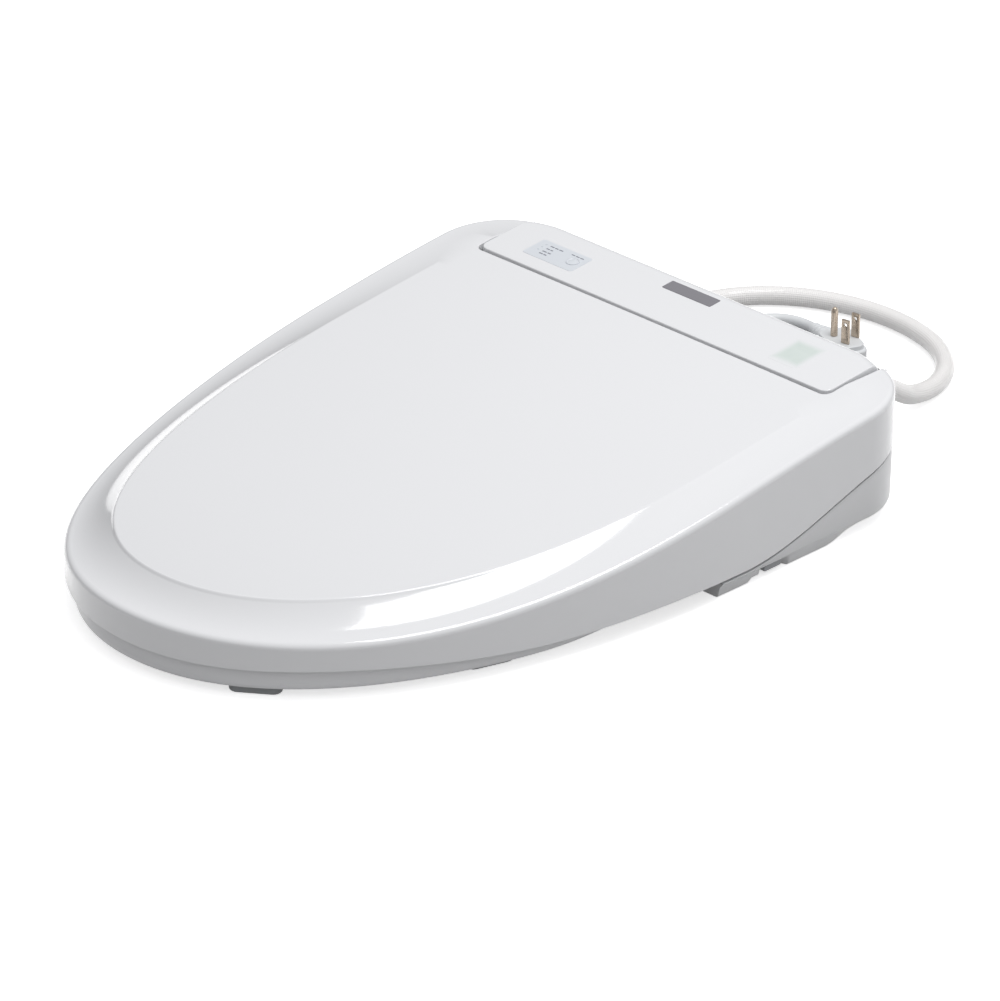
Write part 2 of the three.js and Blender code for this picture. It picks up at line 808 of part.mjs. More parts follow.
// ---------- Deodoriser, water path and electronics ----------
function makeCartridge() {
  const outerX = -halfWidth + trayInset + 0.6;
  return box(outerX, outerX + 52, cartridgeY[0], cartridgeY[1], cartridgeZ[0], cartridgeZ[1]);
}

function makeWaterTank() {
  const y = (bridgeFrontY + rearY) / 2 - 3;
  return upright(roundedRectangle(-112, y, 78, 42, 8), 9, 66);
}

function makeValveBlock() {
  const body = box(inletX - 14, inletX + 40, bridgeFrontY + 7, rearY - 12, 30, 55);
  const coil = rod(
    new THREE.Vector3(inletX + 26, bridgeFrontY + 24, 50),
    new THREE.Vector3(inletX + 26, bridgeFrontY + 24, 62), 9, 16,
  );
  return join(body, coil);
}

function makeWaterPump() {
  return box(inletX - 10, inletX + 40, bridgeFrontY + 7, rearY - 12, 9, 28);
}

function makeControlBoard() {
  return box(-72, 96, bridgeFrontY + 6, rearY - 12, 79, 80.6);
}

function makePowerBoard() {
  return box(-66, -14, bridgeFrontY + 6, rearY - 12, 46, 47.6);
}

// Gear unit that raises the lid, and the damper that lets the seat down slowly.
function makeHingeUnit(side) {
  const outer = bridgeHalfWidth - 12;
  const x0 = side < 0 ? -outer : outer - 44;
  return box(x0, x0 + 44, hingeY - 9, hingeY + 8, hingeZ - 6.5, hingeZ + 7.5);
}

function makeReleaseButton() {
  const outerX = halfWidth - trayInset - 4;
  return box(outerX - 20, outerX, releaseY[0], releaseY[1], releaseZ[0], releaseZ[1]);
}

// ---------- Rear fittings ----------
function rearRod(x, z, from, to, radius, sides = 24, endRadius = radius) {
  return rod(new THREE.Vector3(x, from, z), new THREE.Vector3(x, to, z), radius, sides, endRadius);
}

const capBackY = rearY + filterReach;

function makeFilterCap() {
  const stem = rearRod(filterX, filterZ, rearY - 6.5, rearY + 2, filterStemRadius);
  const cap = rearRod(filterX, filterZ, rearY + 1, capBackY, 12, 32);
  const grip = box(
    filterX - 9, filterX + 9, capBackY - 3, capBackY + 1, filterZ - 12, filterZ - 2,
  );
  const otherGrip = box(
    filterX - 9, filterX + 9, capBackY - 3, capBackY + 1, filterZ + 2, filterZ + 12,
  );
  return cut(join(stem, cap), grip, otherGrip);
}

function makeFilterRing() {
  const ring = rearRod(filterX, filterZ, rearY - 6.5, rearY + 7, filterRingRadius, 32);
  return cut(
    ring,
    rearRod(filterX, filterZ, rearY + 1 - fit, rearY + 12, 12 + fit, 32),
    rearRod(filterX, filterZ, rearY - 10, rearY + 2, filterStemRadius + fit),
  );
}

function makeInletFitting() {
  const tube = rearRod(inletX, inletZ, rearY - 12 + fit, capBackY, inletRadius);
  return cut(tube, rearRod(inletX, inletZ, rearY - 4, capBackY + 1, 4, 16));
}

const reliefLength = 34;

function makeStrainRelief() {
  const root = rearRod(cordExitX, cordExitZ, rearY - 8, rearY, 6, 16);
  const sleeve = rearRod(
    cordExitX, cordExitZ, rearY - 0.4, rearY + reliefLength, 6.5, 16, cordRadius + 1,
  );
  return join(root, sleeve);
}

// ---------- Free hose and cord, lying behind the unit ----------
function sectionOf(radius, sides) {
  const corners = Array.from({ length: sides }, (_, i) => {
    const angle = (2 * Math.PI * i) / sides;
    return new THREE.Vector2(radius * Math.cos(angle), radius * Math.sin(angle));
  });
  return new THREE.Shape(corners);
}

function tubeThrough(points, radius, sides, steps) {
  const path = new THREE.CatmullRomCurve3(points.map((p) => new THREE.Vector3(...p)));
  const settings = { steps, bevelEnabled: false, extrudePath: path };
  return solid(new THREE.ExtrudeGeometry(sectionOf(radius, sides), settings));
}

const hoseNutLength = 15;
const hoseStartY = capBackY + fit + hoseNutLength + fit;
const hoseFloor = hoseRadius + 0.4;
const farNutRadius = 9.5;

const hoseRoute = [
  [inletX, hoseStartY, inletZ],
  [inletX, hoseStartY + 14, inletZ - 0.6],
  [inletX - 1, hoseStartY + 30, inletZ - 6],
  [inletX - 3, hoseStartY + 48, inletZ - 17],
  [inletX - 6, hoseStartY + 66, inletZ - 27.5],
  [inletX - 9, hoseStartY + 84, hoseFloor + 2.2],
  [92, rearY + 128.5, hoseFloor],
  [83, rearY + 147.5, hoseFloor],
  [68, rearY + 163.5, hoseFloor],
  [49, rearY + 175.5, hoseFloor],
  [28, rearY + 182.5, hoseFloor],
  [6, rearY + 185.5, hoseFloor],
  [-17, rearY + 184.5, hoseFloor],
  [-39, rearY + 179.5, hoseFloor],
  [-60, rearY + 170.5, hoseFloor],
  [-79, rearY + 157.5, hoseFloor],
  [-95, rearY + 140.5, hoseFloor],
  [-106, rearY + 120.5, hoseFloor],
  [-112, rearY + 98.5, hoseFloor + 0.4],
  [-114, rearY + 76.5, hoseFloor + 1.6],
  [-114, rearY + 58.5, farNutRadius + fit],
  [-114, rearY + 44.5, farNutRadius + fit],
];

function makeSupplyHose() {
  return tubeThrough(hoseRoute, hoseRadius, 12, 56);
}

function makeInletNut() {
  const nut = rearRod(inletX, inletZ, capBackY + fit, capBackY + fit + hoseNutLength, 10.5, 6);
  return nut;
}

function makeFarNut() {
  const [x, y, z] = hoseRoute.at(-1);
  return rearRod(x, z, y - fit - 18, y - fit, farNutRadius, 20);
}

const coilX = -5;
const coilY = rearY + 88.5;
const coilRadius = 38; // middle of the turns
const coilFloor = 1;
const coilTop = coilFloor + 4 * cordRadius;
const cordFloor = cordRadius + 0.1;
const cordStartY = rearY + reliefLength + fit;

const cordRoute = [
  [cordExitX, cordStartY, cordExitZ],
  [cordExitX, cordStartY + 12, cordExitZ - 0.8],
  [cordExitX, cordStartY + 26, cordExitZ - 7],
  [cordExitX + 1, cordStartY + 40, cordExitZ - 18],
  [cordExitX + 4, cordStartY + 54, cordExitZ - 27.5],
  [cordExitX + 11, cordStartY + 68, cordFloor + 0.4],
  [-65, rearY + 117.5, cordFloor],
  [-55, rearY + 124.5, cordFloor],
  [-44, rearY + 129, cordFloor],
];

function makePowerCord() {
  return tubeThrough(cordRoute, cordRadius, 8, 20);
}

function makeCordCoil() {
  const inner = coilRadius - 2 * cordRadius;
  const outer = coilRadius + 2 * cordRadius;
  const soft = cordRadius * 0.8;
  const profile = [
    [inner, coilFloor + soft],
    [inner + soft, coilFloor],
    [outer - soft, coilFloor],
    [outer, coilFloor + soft],
    [outer, coilTop - soft],
    [outer - soft, coilTop],
    [inner + soft, coilTop],
    [inner, coilTop - soft],
    [inner, coilFloor + soft],
  ].map(([r, z]) => new THREE.Vector2(r, z));
  const ring = new THREE.LatheGeometry(profile, 40);
  ring.rotateX(Math.PI / 2);
  ring.translate(coilX, coilY, 0);
  return solid(ring);
}

const plugX = 35;
const plugY = rearY + 95.5;
const plugFloor = coilTop + fit;
const plugHeight = 18;
const plugTurn = -0.42;
const tailZ = coilTop + cordRadius + fit;

// A piece of the plug: made around its own centre, then turned and set on the coil.
function onPlug(whole) {
  const turned = whole.rotate([0, 0, THREE.MathUtils.radToDeg(plugTurn)]);
  return turned.translate([plugX, plugY, plugFloor]);
}

const plugTop = plugHeight + fit;
const contactTurn = 34; // the contacts stand askew to the neck

function onPlugFace(whole) {
  return onPlug(whole.rotate([0, 0, contactTurn]));
}
const plugNeckLength = 26;

function makePlugBody() {
  const block = upright(roundedRectangle(0, 0, 37, 27, 6), 0, plugHeight - 4);
  const face = extruded(roundedRectangle(0, 0, 32, 23, 5), 4);
  face.translate(0, 0, plugHeight - 4);
  const neck = rod(
    new THREE.Vector3(-17, 0, 7), new THREE.Vector3(-18 - plugNeckLength, 0, 5), 6.2, 16, 4.6,
  );
  return onPlug(join(block, solid(face), neck));
}

function makeBlade(y) {
  return onPlugFace(box(-3.2, 3.2, y - 0.8, y + 0.8, plugTop, plugTop + 17.5)
    .translate([7, 0, 0]));
}

function makeGroundPin() {
  const foot = new THREE.Vector3(-6, 0, plugTop);
  const neck = new THREE.Vector3(-6, 0, plugTop + 18);
  const tip = new THREE.Vector3(-6, 0, plugTop + 21);
  return onPlugFace(join(rod(foot, neck, 2.4, 16), rod(neck, tip, 2.4, 16, 1.4)));
}

function tailRoute() {
  const reach = 18 + plugNeckLength + fit;
  const onNeckLine = (distance) => [
    plugX - distance * Math.cos(plugTurn), plugY - distance * Math.sin(plugTurn), plugFloor + 5,
  ];
  return [
    [coilX - 38, coilY + 12, tailZ],
    [coilX - 30, coilY + 22, tailZ],
    [coilX - 19, coilY + 28, tailZ],
    onNeckLine(reach + 8),
    onNeckLine(reach),
  ];
}

function makeCordTail() {
  return tubeThrough(tailRoute(), cordRadius, 8, 8);
}

// ---------- Assembly ----------
const group = new THREE.Group();

function place(name, whole, material) {
  const mesh = whole.getMesh();
  const geometry = new THREE.BufferGeometry();
  geometry.setAttribute("position", new THREE.BufferAttribute(mesh.vertProperties, 3));
  geometry.setIndex(new THREE.BufferAttribute(mesh.triVerts, 1));
  geometry.computeVertexNormals();
  const part = new THREE.Mesh(geometry, material);
  part.name = name;
  group.add(part);
}

function placePair(name, make, material) {
  place(`${name}_left`, make(-1), material);
  place(`${name}_right`, make(1), material);
}

place("lid_shell", makeLidShell(), glossWhite);
placePair("lid_bumper", makeLidBumper, paleRubber);
place("seat_top", makeSeatTop(), glossWhite);
place("seat_bottom_plate", makeSeatPlate(), satinWhite);
place("seat_heater", makeSeatHeater(), copper);
for (const bumper of seatBumpers) {
  placePair(bumper.name, (side) => makeSeatBumper(side, bumper), paleRubber);
}
placePair("seat_arm", makeSeatArm, satinWhite);
placePair("hinge_pin", makeHingePin, steel);
place("base_tray", makeBaseTray(), satinWhite);
place("mounting_plate", makeMountingPlate(), greyPlastic);
place("top_cover", makeTopCover(), glossWhite);
place("indicator_panel", makeIndicatorPanel(), labelGrey);
place("clean_button", makeCleanButton(), satinWhite);
place("badge_plate", makeBadgePlate(), badgeGrey);
place("ir_window", makeIrWindow(), windowTint);
place("wand_tube", makeWand(), satinWhite);
place("wand_tip", makeWandTip(), satinWhite);
place("wand_shield", makeWandShield(), satinWhite);
place("wand_rail", makeWandRail(), greyPlastic);
place("wand_motor", makeWandMotor(), steel);
place("blower_housing", makeBlowerHousing(), darkPlastic);
place("fan_impeller", makeFanImpeller(), greyPlastic);
place("fan_motor", makeFanMotor(), steel);
place("dryer_duct", makeDryerDuct(), greyPlastic);
place("dryer_flap", makeDryerFlap(), satinWhite);
place("deodoriser_cartridge", makeCartridge(), satinWhite);
place("water_tank", makeWaterTank(), greyPlastic);
place("valve_block", makeValveBlock(), darkPlastic);
place("water_pump", makeWaterPump(), darkPlastic);
place("control_board", makeControlBoard(), boardGreen);
place("power_board", makePowerBoard(), boardGreen);
place("lid_drive", makeHingeUnit(1), darkPlastic);
place("seat_damper", makeHingeUnit(-1), darkPlastic);
place("release_button", makeReleaseButton(), greyPlastic);
place("filter_cap", makeFilterCap(), darkPlastic);
place("filter_ring", makeFilterRing(), chrome);
place("inlet_fitting", makeInletFitting(), satinWhite);
place("inlet_nut", makeInletNut(), satinWhite);
place("supply_hose", makeSupplyHose(), whiteHose);
place("far_nut", makeFarNut(), chrome);
place("strain_relief", makeStrainRelief(), satinWhite);
place("power_cord", makePowerCord(), satinWhite);
place("cord_coil", makeCordCoil(), satinWhite);
place("cord_tail", makeCordTail(), satinWhite);
place("plug_body", makePlugBody(), satinWhite);
place("plug_blade_left", makeBlade(-6.35), brassNickel);
place("plug_blade_right", makeBlade(6.35), brassNickel);
place("plug_ground_pin", makeGroundPin(), brassNickel);

export default group;
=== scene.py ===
"""The looks of an electric bidet seat: gloss shells, seams, hose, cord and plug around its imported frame."""
import json
import logging
import math
from dataclasses import dataclass, field
from enum import Enum
from typing import Callable, Iterable, Sequence

import bpy
import numpy as np
from mathutils import Matrix, Vector
from mathutils.geometry import delaunay_2d_cdt


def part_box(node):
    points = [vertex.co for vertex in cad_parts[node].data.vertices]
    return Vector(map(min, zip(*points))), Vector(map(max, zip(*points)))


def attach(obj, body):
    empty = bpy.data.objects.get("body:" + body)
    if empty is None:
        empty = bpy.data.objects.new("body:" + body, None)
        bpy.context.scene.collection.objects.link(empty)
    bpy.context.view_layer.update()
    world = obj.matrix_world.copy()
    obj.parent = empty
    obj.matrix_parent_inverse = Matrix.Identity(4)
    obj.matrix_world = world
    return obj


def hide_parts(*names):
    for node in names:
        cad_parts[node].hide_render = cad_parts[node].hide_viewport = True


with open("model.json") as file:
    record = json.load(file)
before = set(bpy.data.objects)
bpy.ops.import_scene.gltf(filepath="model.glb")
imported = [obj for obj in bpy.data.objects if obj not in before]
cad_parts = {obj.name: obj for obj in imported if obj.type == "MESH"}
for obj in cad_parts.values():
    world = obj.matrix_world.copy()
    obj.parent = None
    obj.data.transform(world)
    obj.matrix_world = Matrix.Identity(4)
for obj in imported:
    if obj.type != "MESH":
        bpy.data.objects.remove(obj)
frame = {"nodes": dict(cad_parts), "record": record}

log = logging.getLogger("bidet_seat")
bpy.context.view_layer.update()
MM = 0.001
UP = (0.0, 0.0, 1.0)


# ---------- Shader graphs ----------
class Value:
    """A number socket of a material graph that takes part in sums as a Python value does."""

    def __init__(self, graph: "Graph", socket: bpy.types.NodeSocket) -> None:
        """Wraps one output socket.

        Args:
            graph: The graph that the socket belongs to.
            socket: The output socket.
        """
        self.graph, self.socket = graph, socket

    def _math(self, operation: str, first: object, second: object) -> "Value":
        """Adds one Math node.

        Args:
            operation: The Math node's operation.
            first: Its first input, a number or a Value.
            second: Its second input, a number or a Value.

        Returns:
            The node's result.
        """
        return self.graph.value("ShaderNodeMath", {"operation": operation}, {0: first, 1: second})

    def __add__(self, other: object) -> "Value":
        """The sum."""
        return self._math("ADD", self, other)

    __radd__ = __add__

    def __mul__(self, other: object) -> "Value":
        """The product."""
        return self._math("MULTIPLY", self, other)

    __rmul__ = __mul__

    def __sub__(self, other: object) -> "Value":
        """The difference."""
        return self._math("SUBTRACT", self, other)

    def __rsub__(self, other: object) -> "Value":
        """The difference from a number."""
        return self._math("SUBTRACT", other, self)

    def __truediv__(self, other: object) -> "Value":
        """The quotient."""
        return self._math("DIVIDE", self, other)

    def __pow__(self, other: object) -> "Value":
        """The power."""
        return self._math("POWER", self, other)


class Graph:
    """The node tree of one material."""

    def __init__(self, name: str) -> None:
        """Makes an empty material with its output.

        Args:
            name: The material's name.
        """
        self.material = bpy.data.materials.new(name)
        self.material.use_nodes = True
        self.tree = self.material.node_tree
        self.tree.nodes.clear()

    def node(self, kind: str, settings: dict | None = None, inputs: dict | None = None) -> bpy.types.Node:
        """Adds a node.

        Args:
            kind: The node's type.
            settings: Properties that are set first; "stops" holds a ramp's (position, colour) pairs.
            inputs: Socket name or number to a number, colour, Value or output socket.

        Returns:
            The node.
        """
        made = self.tree.nodes.new(kind)
        for key, setting in (settings or {}).items():
            if key == "stops":
                ramp = made.color_ramp.elements
                while len(ramp) < len(setting):
                    ramp.new(0.5)
                for stop, (place, colour) in zip(ramp, setting):
                    stop.position, stop.color = place, colour
            else:
                setattr(made, key, setting)
        for key, value in (inputs or {}).items():
            link = value.socket if isinstance(value, Value) else value
            if isinstance(link, bpy.types.NodeSocket):
                self.tree.links.new(link, made.inputs[key])
            else:
                made.inputs[key].default_value = value
        return made

    def value(self, kind: str, settings: dict | None = None, inputs: dict | None = None,
              out: str | int = 0) -> Value:
        """Adds a node and wraps one of its outputs.

        Args:
            kind: The node's type.
            settings: Properties that are set first.
            inputs: Socket name or number to a value or a link.
            out: The output's name or number.

        Returns:
            The wrapped output.
        """
        return Value(self, self.node(kind, settings, inputs).outputs[out])

    def noise(self, scale: float, detail: float = 3.0, place: Value | None = None) -> Value:
        """A noise over the object's own place.

        Args:
            scale: Waves per metre.
            detail: Octaves.
            place: Coordinates to use instead of the object's.

        Returns:
            The noise, about 0 to 1.
        """
        inputs = {"Vector": place or self.place(), "Scale": scale, "Detail": detail}
        return self.value("ShaderNodeTexNoise", {}, inputs)

    def place(self, kind: str = "Object") -> Value:
        """Texture coordinates of one kind."""
        return self.value("ShaderNodeTexCoord", {}, {}, kind)

    def axis(self, name: str, kind: str = "Object") -> Value:
        """One coordinate of the object's own place.

        Args:
            name: X, Y or Z.
            kind: The kind of coordinates.

        Returns:
            The coordinate.
        """
        return self.value("ShaderNodeSeparateXYZ", {}, {0: self.place(kind)}, name)

    def step(self, value: Value, low: float, high: float) -> Value:
        """A smooth step from 0 at low to 1 at high.

        Args:
            value: What is compared.
            low: Where it starts.
            high: Where it ends.

        Returns:
            The step.
        """
        settings = {"interpolation_type": "SMOOTHSTEP"}
        inputs = {"Value": value, "From Min": low, "From Max": high}
        return self.value("ShaderNodeMapRange", settings, inputs)

    def blend(self, share: Value | float, first: object, second: object) -> Value:
        """A colour between two.

        Args:
            share: 0 for the first, 1 for the second.
            first: A colour or a link.
            second: A colour or a link.

        Returns:
            The mixed colour.
        """
        inputs = {0: share, 6: first, 7: second}
        return self.value("ShaderNodeMix", {"data_type": "RGBA"}, inputs, 2)

    def bump(self, height: Value, depth: float, strength: float = 1.0) -> Value:
        """A normal from a height.

        Args:
            height: The height pattern, 0 to 1.
            depth: Metres from 0 to 1.
            strength: The share of the effect.

        Returns:
            The normal.
        """
        inputs = {"Strength": strength, "Distance": depth, "Height": height}
        return self.value("ShaderNodeBump", {}, inputs)

    def surface(self, inputs: dict) -> bpy.types.Material:
        """Ends the graph in a Principled surface.

        Args:
            inputs: The shader's sockets, numbers or links.

        Returns:
            The material.
        """
        shader = self.node("ShaderNodeBsdfPrincipled", {}, inputs)
        self.node("ShaderNodeOutputMaterial", {}, {"Surface": shader.outputs[0]})
        return self.material


class Grain(Enum):
    """How a finish's surface is worked."""

    POLISHED = "polished"
    SATIN = "satin"
    BRUSHED = "brushed"
    BRAIDED = "braided"
    SOFT = "soft"
    METAL = "metal"
    PRINTED = "printed"
    WINDOW = "window"


@dataclass(frozen=True)
class Finish:
    """One material of the seat: its colour, gloss and grain."""

    slot: str
    colour: tuple[float, float, float]
    roughness: float
    grain: Grain
    metallic: float = 0.0
    coat: float = 0.0
    depth: float = 0.00001
    spread: float = 0.02

    def _shades(self) -> tuple[tuple, tuple]:
        """The colour's darker and lighter ends.

        Returns:
            Two colours with alpha.
        """
        low = tuple(max(0.0, c * (1 - self.spread)) for c in self.colour) + (1.0,)
        high = tuple(min(1.0, c * (1 + self.spread)) for c in self.colour) + (1.0,)
        return low, high

    def make(self) -> bpy.types.Material:
        """Builds the material.

        Returns:
            The material, named after its slot.
        """
        graph = Graph(self.slot)
        low, high = self._shades()
        cloud = graph.noise(9.0, 2.0)
        inputs = {
            "Base Color": graph.blend(cloud, low, high),
            "Roughness": graph.noise(60.0, 4.0) * (0.3 * self.roughness) + 0.85 * self.roughness,
            "Metallic": self.metallic,
            "Coat Weight": self.coat,
            "Coat Roughness": 0.04,
        }
        inputs["Normal"] = self._relief(graph, inputs, low, high)
        return graph.surface(inputs)

    def _relief(self, graph: Graph, inputs: dict, low: tuple, high: tuple) -> Value:
        """The fine relief of the grain; it may change the colour and roughness too.

        Args:
            graph: The material's graph.
            inputs: The shader's sockets so far.
            low: The darker shade.
            high: The lighter shade.

        Returns:
            The normal.
        """
        if self.grain is Grain.POLISHED:
            wave = graph.noise(35.0, 2.0)
            return graph.bump(wave, self.depth, 0.35)
        if self.grain is Grain.SATIN:
            spark = graph.noise(2400.0, 3.0)
            return graph.bump(spark, self.depth * 3.0, 0.6)
        if self.grain is Grain.SOFT:
            pores = graph.noise(1500.0, 4.0)
            inputs["Roughness"] = pores * 0.15 + (self.roughness - 0.08)
            return graph.bump(pores, self.depth * 6.0, 0.7)
        if self.grain is Grain.BRUSHED:
            scaled = graph.value("ShaderNodeVectorMath", {"operation": "MULTIPLY"},
                                 {0: graph.place(), 1: (18.0, 2600.0, 900.0)})
            lines = graph.noise(1.0, 4.0, scaled)
            inputs["Base Color"] = graph.blend(lines, low, high)
            inputs["Roughness"] = lines * 0.2 + (self.roughness - 0.1)
            return graph.bump(lines, self.depth * 4.0, 0.5)
        if self.grain is Grain.METAL:
            marks = graph.noise(700.0, 5.0)
            inputs["Roughness"] = marks * 0.25 + (self.roughness - 0.1)
            inputs["Base Color"] = graph.blend(marks, low, high)
            return graph.bump(marks, self.depth * 3.0, 0.5)
        if self.grain is Grain.BRAIDED:
            weave, thread = self._braid(graph)
            # The colour follows the weave's height, lighter on the threads' crowns and darker in the hollows between
            # them: painted shade in the weave.
            inputs["Base Color"] = graph.blend(weave, low, high)
            inputs["Roughness"] = self.roughness - weave * 0.12
            return graph.bump(weave * 0.8 + thread * 0.2, self.depth * 26.0, 1.0)
        if self.grain is Grain.WINDOW:
            return graph.bump(graph.noise(300.0, 2.0), self.depth, 0.2)
        fibres = graph.noise(900.0, 2.0)
        return graph.bump(fibres, self.depth * 2.0, 0.4)

    def _braid(self, graph: Graph) -> tuple[Value, Value]:
        """Two families of threads that cross round a hose, over the UV map in threads.

        Args:
            graph: The material's graph.

        Returns:
            The height of the weave, and the fine threads in it.
        """
        along, round_it = graph.axis("X", "UV"), graph.axis("Y", "UV")
        turn = 2.0 * math.pi
        right = graph.value("ShaderNodeMath", {"operation": "SINE"}, {0: (along + round_it) * turn})
        left = graph.value("ShaderNodeMath", {"operation": "SINE"}, {0: (along - round_it) * turn})
        weave = (right * left) * 0.5 + 0.5
        thread = graph.value("ShaderNodeMath", {"operation": "SINE"}, {0: (along + round_it) * turn * 4.0})
        return weave, thread * 0.5 + 0.5


FINISHES = {finish.slot: finish for finish in (
    Finish("gloss_white", (0.78, 0.785, 0.80), 0.10, Grain.POLISHED, coat=0.25, spread=0.006),
    Finish("satin_white", (0.70, 0.705, 0.715), 0.34, Grain.SATIN, spread=0.015),
    Finish("grey_plastic", (0.32, 0.33, 0.345), 0.45, Grain.SATIN, spread=0.03),
    Finish("dark_plastic", (0.012, 0.012, 0.014), 0.30, Grain.SATIN, spread=0.1),
    Finish("badge_grey", (0.21, 0.205, 0.225), 0.38, Grain.BRUSHED, coat=0.2, spread=0.07),
    Finish("label_grey", (0.66, 0.69, 0.73), 0.32, Grain.PRINTED, spread=0.01),
    Finish("window_tint", (0.66, 0.72, 0.69), 0.12, Grain.WINDOW, coat=0.3, spread=0.02),
    Finish("pale_rubber", (0.30, 0.31, 0.32), 0.62, Grain.SOFT, spread=0.05),
    # The braid's wide spread sets how much darker the weave's hollows are painted: painted shade.
    Finish("braided_hose", (0.90, 0.885, 0.875), 0.34, Grain.BRAIDED, coat=0.35, spread=0.11),
    Finish("cord_white", (0.70, 0.715, 0.73), 0.36, Grain.SOFT, spread=0.02),
    Finish("chrome", (0.78, 0.78, 0.79), 0.12, Grain.METAL, metallic=1.0, spread=0.03),
    Finish("contact_metal", (0.52, 0.44, 0.36), 0.26, Grain.METAL, metallic=1.0, spread=0.12),
    Finish("steel", (0.46, 0.47, 0.49), 0.34, Grain.METAL, metallic=1.0, spread=0.08),
    Finish("board_green", (0.02, 0.13, 0.05), 0.4, Grain.PRINTED, spread=0.1),
    Finish("heater_foil", (0.62, 0.33, 0.18), 0.3, Grain.BRUSHED, metallic=1.0, spread=0.08),
)}
PRINT_INK = Finish("print_ink", (0.20, 0.21, 0.25), 0.5, Grain.PRINTED, spread=0.05)
LAMP_GREEN = Finish("lamp_lens", (0.62, 0.66, 0.70), 0.2, Grain.WINDOW, spread=0.03)


@dataclass
class Workshop:
    """Dresses finished pieces and hangs them on the frame."""

    materials: dict[str, bpy.types.Material] = field(default_factory=dict)
    replaced: set[str] = field(default_factory=set)

    def material(self, finish: Finish) -> bpy.types.Material:
        """The material of a finish, made once.

        Args:
            finish: The finish.

        Returns:
            Its material.
        """
        if finish.slot not in self.materials:
            self.materials[finish.slot] = finish.make()
        return self.materials[finish.slot]

    def dress(self, piece: bpy.types.Object, body: str, slot: str, *nodes: str,
              finish: Finish | None = None) -> bpy.types.Object:
        """Gives a piece its finish and its body.

        Args:
            piece: The finished piece, in place.
            body: The body that it rides on.
            slot: The record's material slot.
            nodes: The nodes that it stands for.
            finish: A finish other than the slot's own.

        Returns:
            The piece.
        """
        piece.data.materials.clear()
        piece.data.materials.append(self.material(finish or FINISHES[slot]))
        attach(piece, body)
        if nodes:
            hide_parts(*nodes)
            self.replaced.update(nodes)
        log.info("%s rides on %s, finish %s", piece.name, body, slot)
        return piece

    def dress_frame(self) -> None:
        """Gives every node that still shows the finish of its own slot."""
        for part in frame["record"]["subparts"]:
            node = frame["nodes"][part["node"]]
            if part["node"] in self.replaced:
                continue
            node.data.materials.clear()
            node.data.materials.append(self.material(FINISHES[part["material_slot"]]))
            log.info("node %s keeps its shape, finish %s", part["node"], part["material_slot"])


# ---------- Meshes ----------
def smoothstep(value: np.ndarray, low: float, high: float) -> np.ndarray:
    """A smooth step from 0 at low to 1 at high."""
    t = np.clip((np.asarray(value, float) - low) / (high - low), 0, 1)
    return t * t * (3 - 2 * t)


def make_mesh(name: str, points: Sequence, faces: Sequence, normals: np.ndarray | None = None,
              sharp: float = 40.0) -> bpy.types.Object:
    """A smooth mesh object.

    Args:
        name: The piece's name.
        points: Its vertices.
        faces: Its faces.
        normals: A shading normal for each vertex; a zero one is left to the mesh.
        sharp: Edges that turn more than this, in degrees, stay sharp when there are no normals.

    Returns:
        The object, linked to the scene.
    """
    data = bpy.data.meshes.new(name)
    data.from_pydata([tuple(map(float, p)) for p in points], [], [tuple(map(int, f)) for f in faces])
    data.validate()
    data.update()
    data.shade_smooth()
    piece = bpy.data.objects.new(name, data)
    bpy.context.scene.collection.objects.link(piece)
    if normals is not None:
        data.normals_split_custom_set_from_vertices([tuple(map(float, n)) for n in normals])
    else:
        data.set_sharp_from_angle(angle=math.radians(sharp))
    return piece


def bake_modifiers(piece: bpy.types.Object) -> bpy.types.Object:
    """Applies a piece's modifiers to its mesh.

    Args:
        piece: The piece.

    Returns:
        The piece.
    """
    shaped = piece.evaluated_get(bpy.context.evaluated_depsgraph_get())
    data = bpy.data.meshes.new_from_object(shaped)
    data.name = piece.name
    piece.modifiers.clear()
    piece.data = data
    return piece


def even_shading(piece: bpy.types.Object) -> bpy.types.Object:
    """Keeps flat faces flat beside their rounded edges.

    Args:
        piece: The piece.

    Returns:
        The piece.
    """
    weighted = piece.modifiers.new("even", "WEIGHTED_NORMAL")
    weighted.keep_sharp = True
    return bake_modifiers(piece)


def cut_away(piece: bpy.types.Object, cutters: Iterable[bpy.types.Object]) -> bpy.types.Object:
    """Cuts other meshes out of a piece and throws them away.

    Args:
        piece: The piece.
        cutters: What is cut out.

    Returns:
        The piece.
    """
    for cutter in cutters:
        cut = piece.modifiers.new("cut", "BOOLEAN")
        cut.operation, cut.solver, cut.object = "DIFFERENCE", "EXACT", cutter
        bake_modifiers(piece)
        bpy.data.objects.remove(cutter)
    return piece


def merge(name: str, pieces: Sequence[bpy.types.Object]) -> bpy.types.Object:
    """One object from several, with their custom shading.

    Args:
        name: The new object's name.
        pieces: The objects, which are used up.

    Returns:
        The object.
    """
    first = pieces[0]
    with bpy.context.temp_override(active_object=first, selected_editable_objects=list(pieces)):
        bpy.ops.object.join()
    first.name = first.data.name = name
    return first


def skin(rings: Sequence[np.ndarray], round_ring: bool = True, round_loft: bool = False,
         caps: tuple[bool, bool] = (False, False)) -> tuple[list, list]:
    """Faces through a row of rings.

    Args:
        rings: Arrays of points, all as long.
        round_ring: Each ring closes on itself.
        round_loft: The last ring joins the first.
        caps: Whether the first and the last ring are filled.

    Returns:
        The points and the faces.
    """
    count = len(rings[0])
    points = [p for ring in rings for p in ring]
    faces: list[tuple] = []
    strips = len(rings) if round_loft else len(rings) - 1
    for strip in range(strips):
        low, high = strip * count, ((strip + 1) % len(rings)) * count
        for i in range(count if round_ring else count - 1):
            j = (i + 1) % count
            faces.append((low + i, low + j, high + j, high + i))
    if caps[0]:
        faces.append(tuple(reversed(range(count))))
    if caps[1]:
        faces.append(tuple(range((len(rings) - 1) * count, len(rings) * count)))
    return points, faces


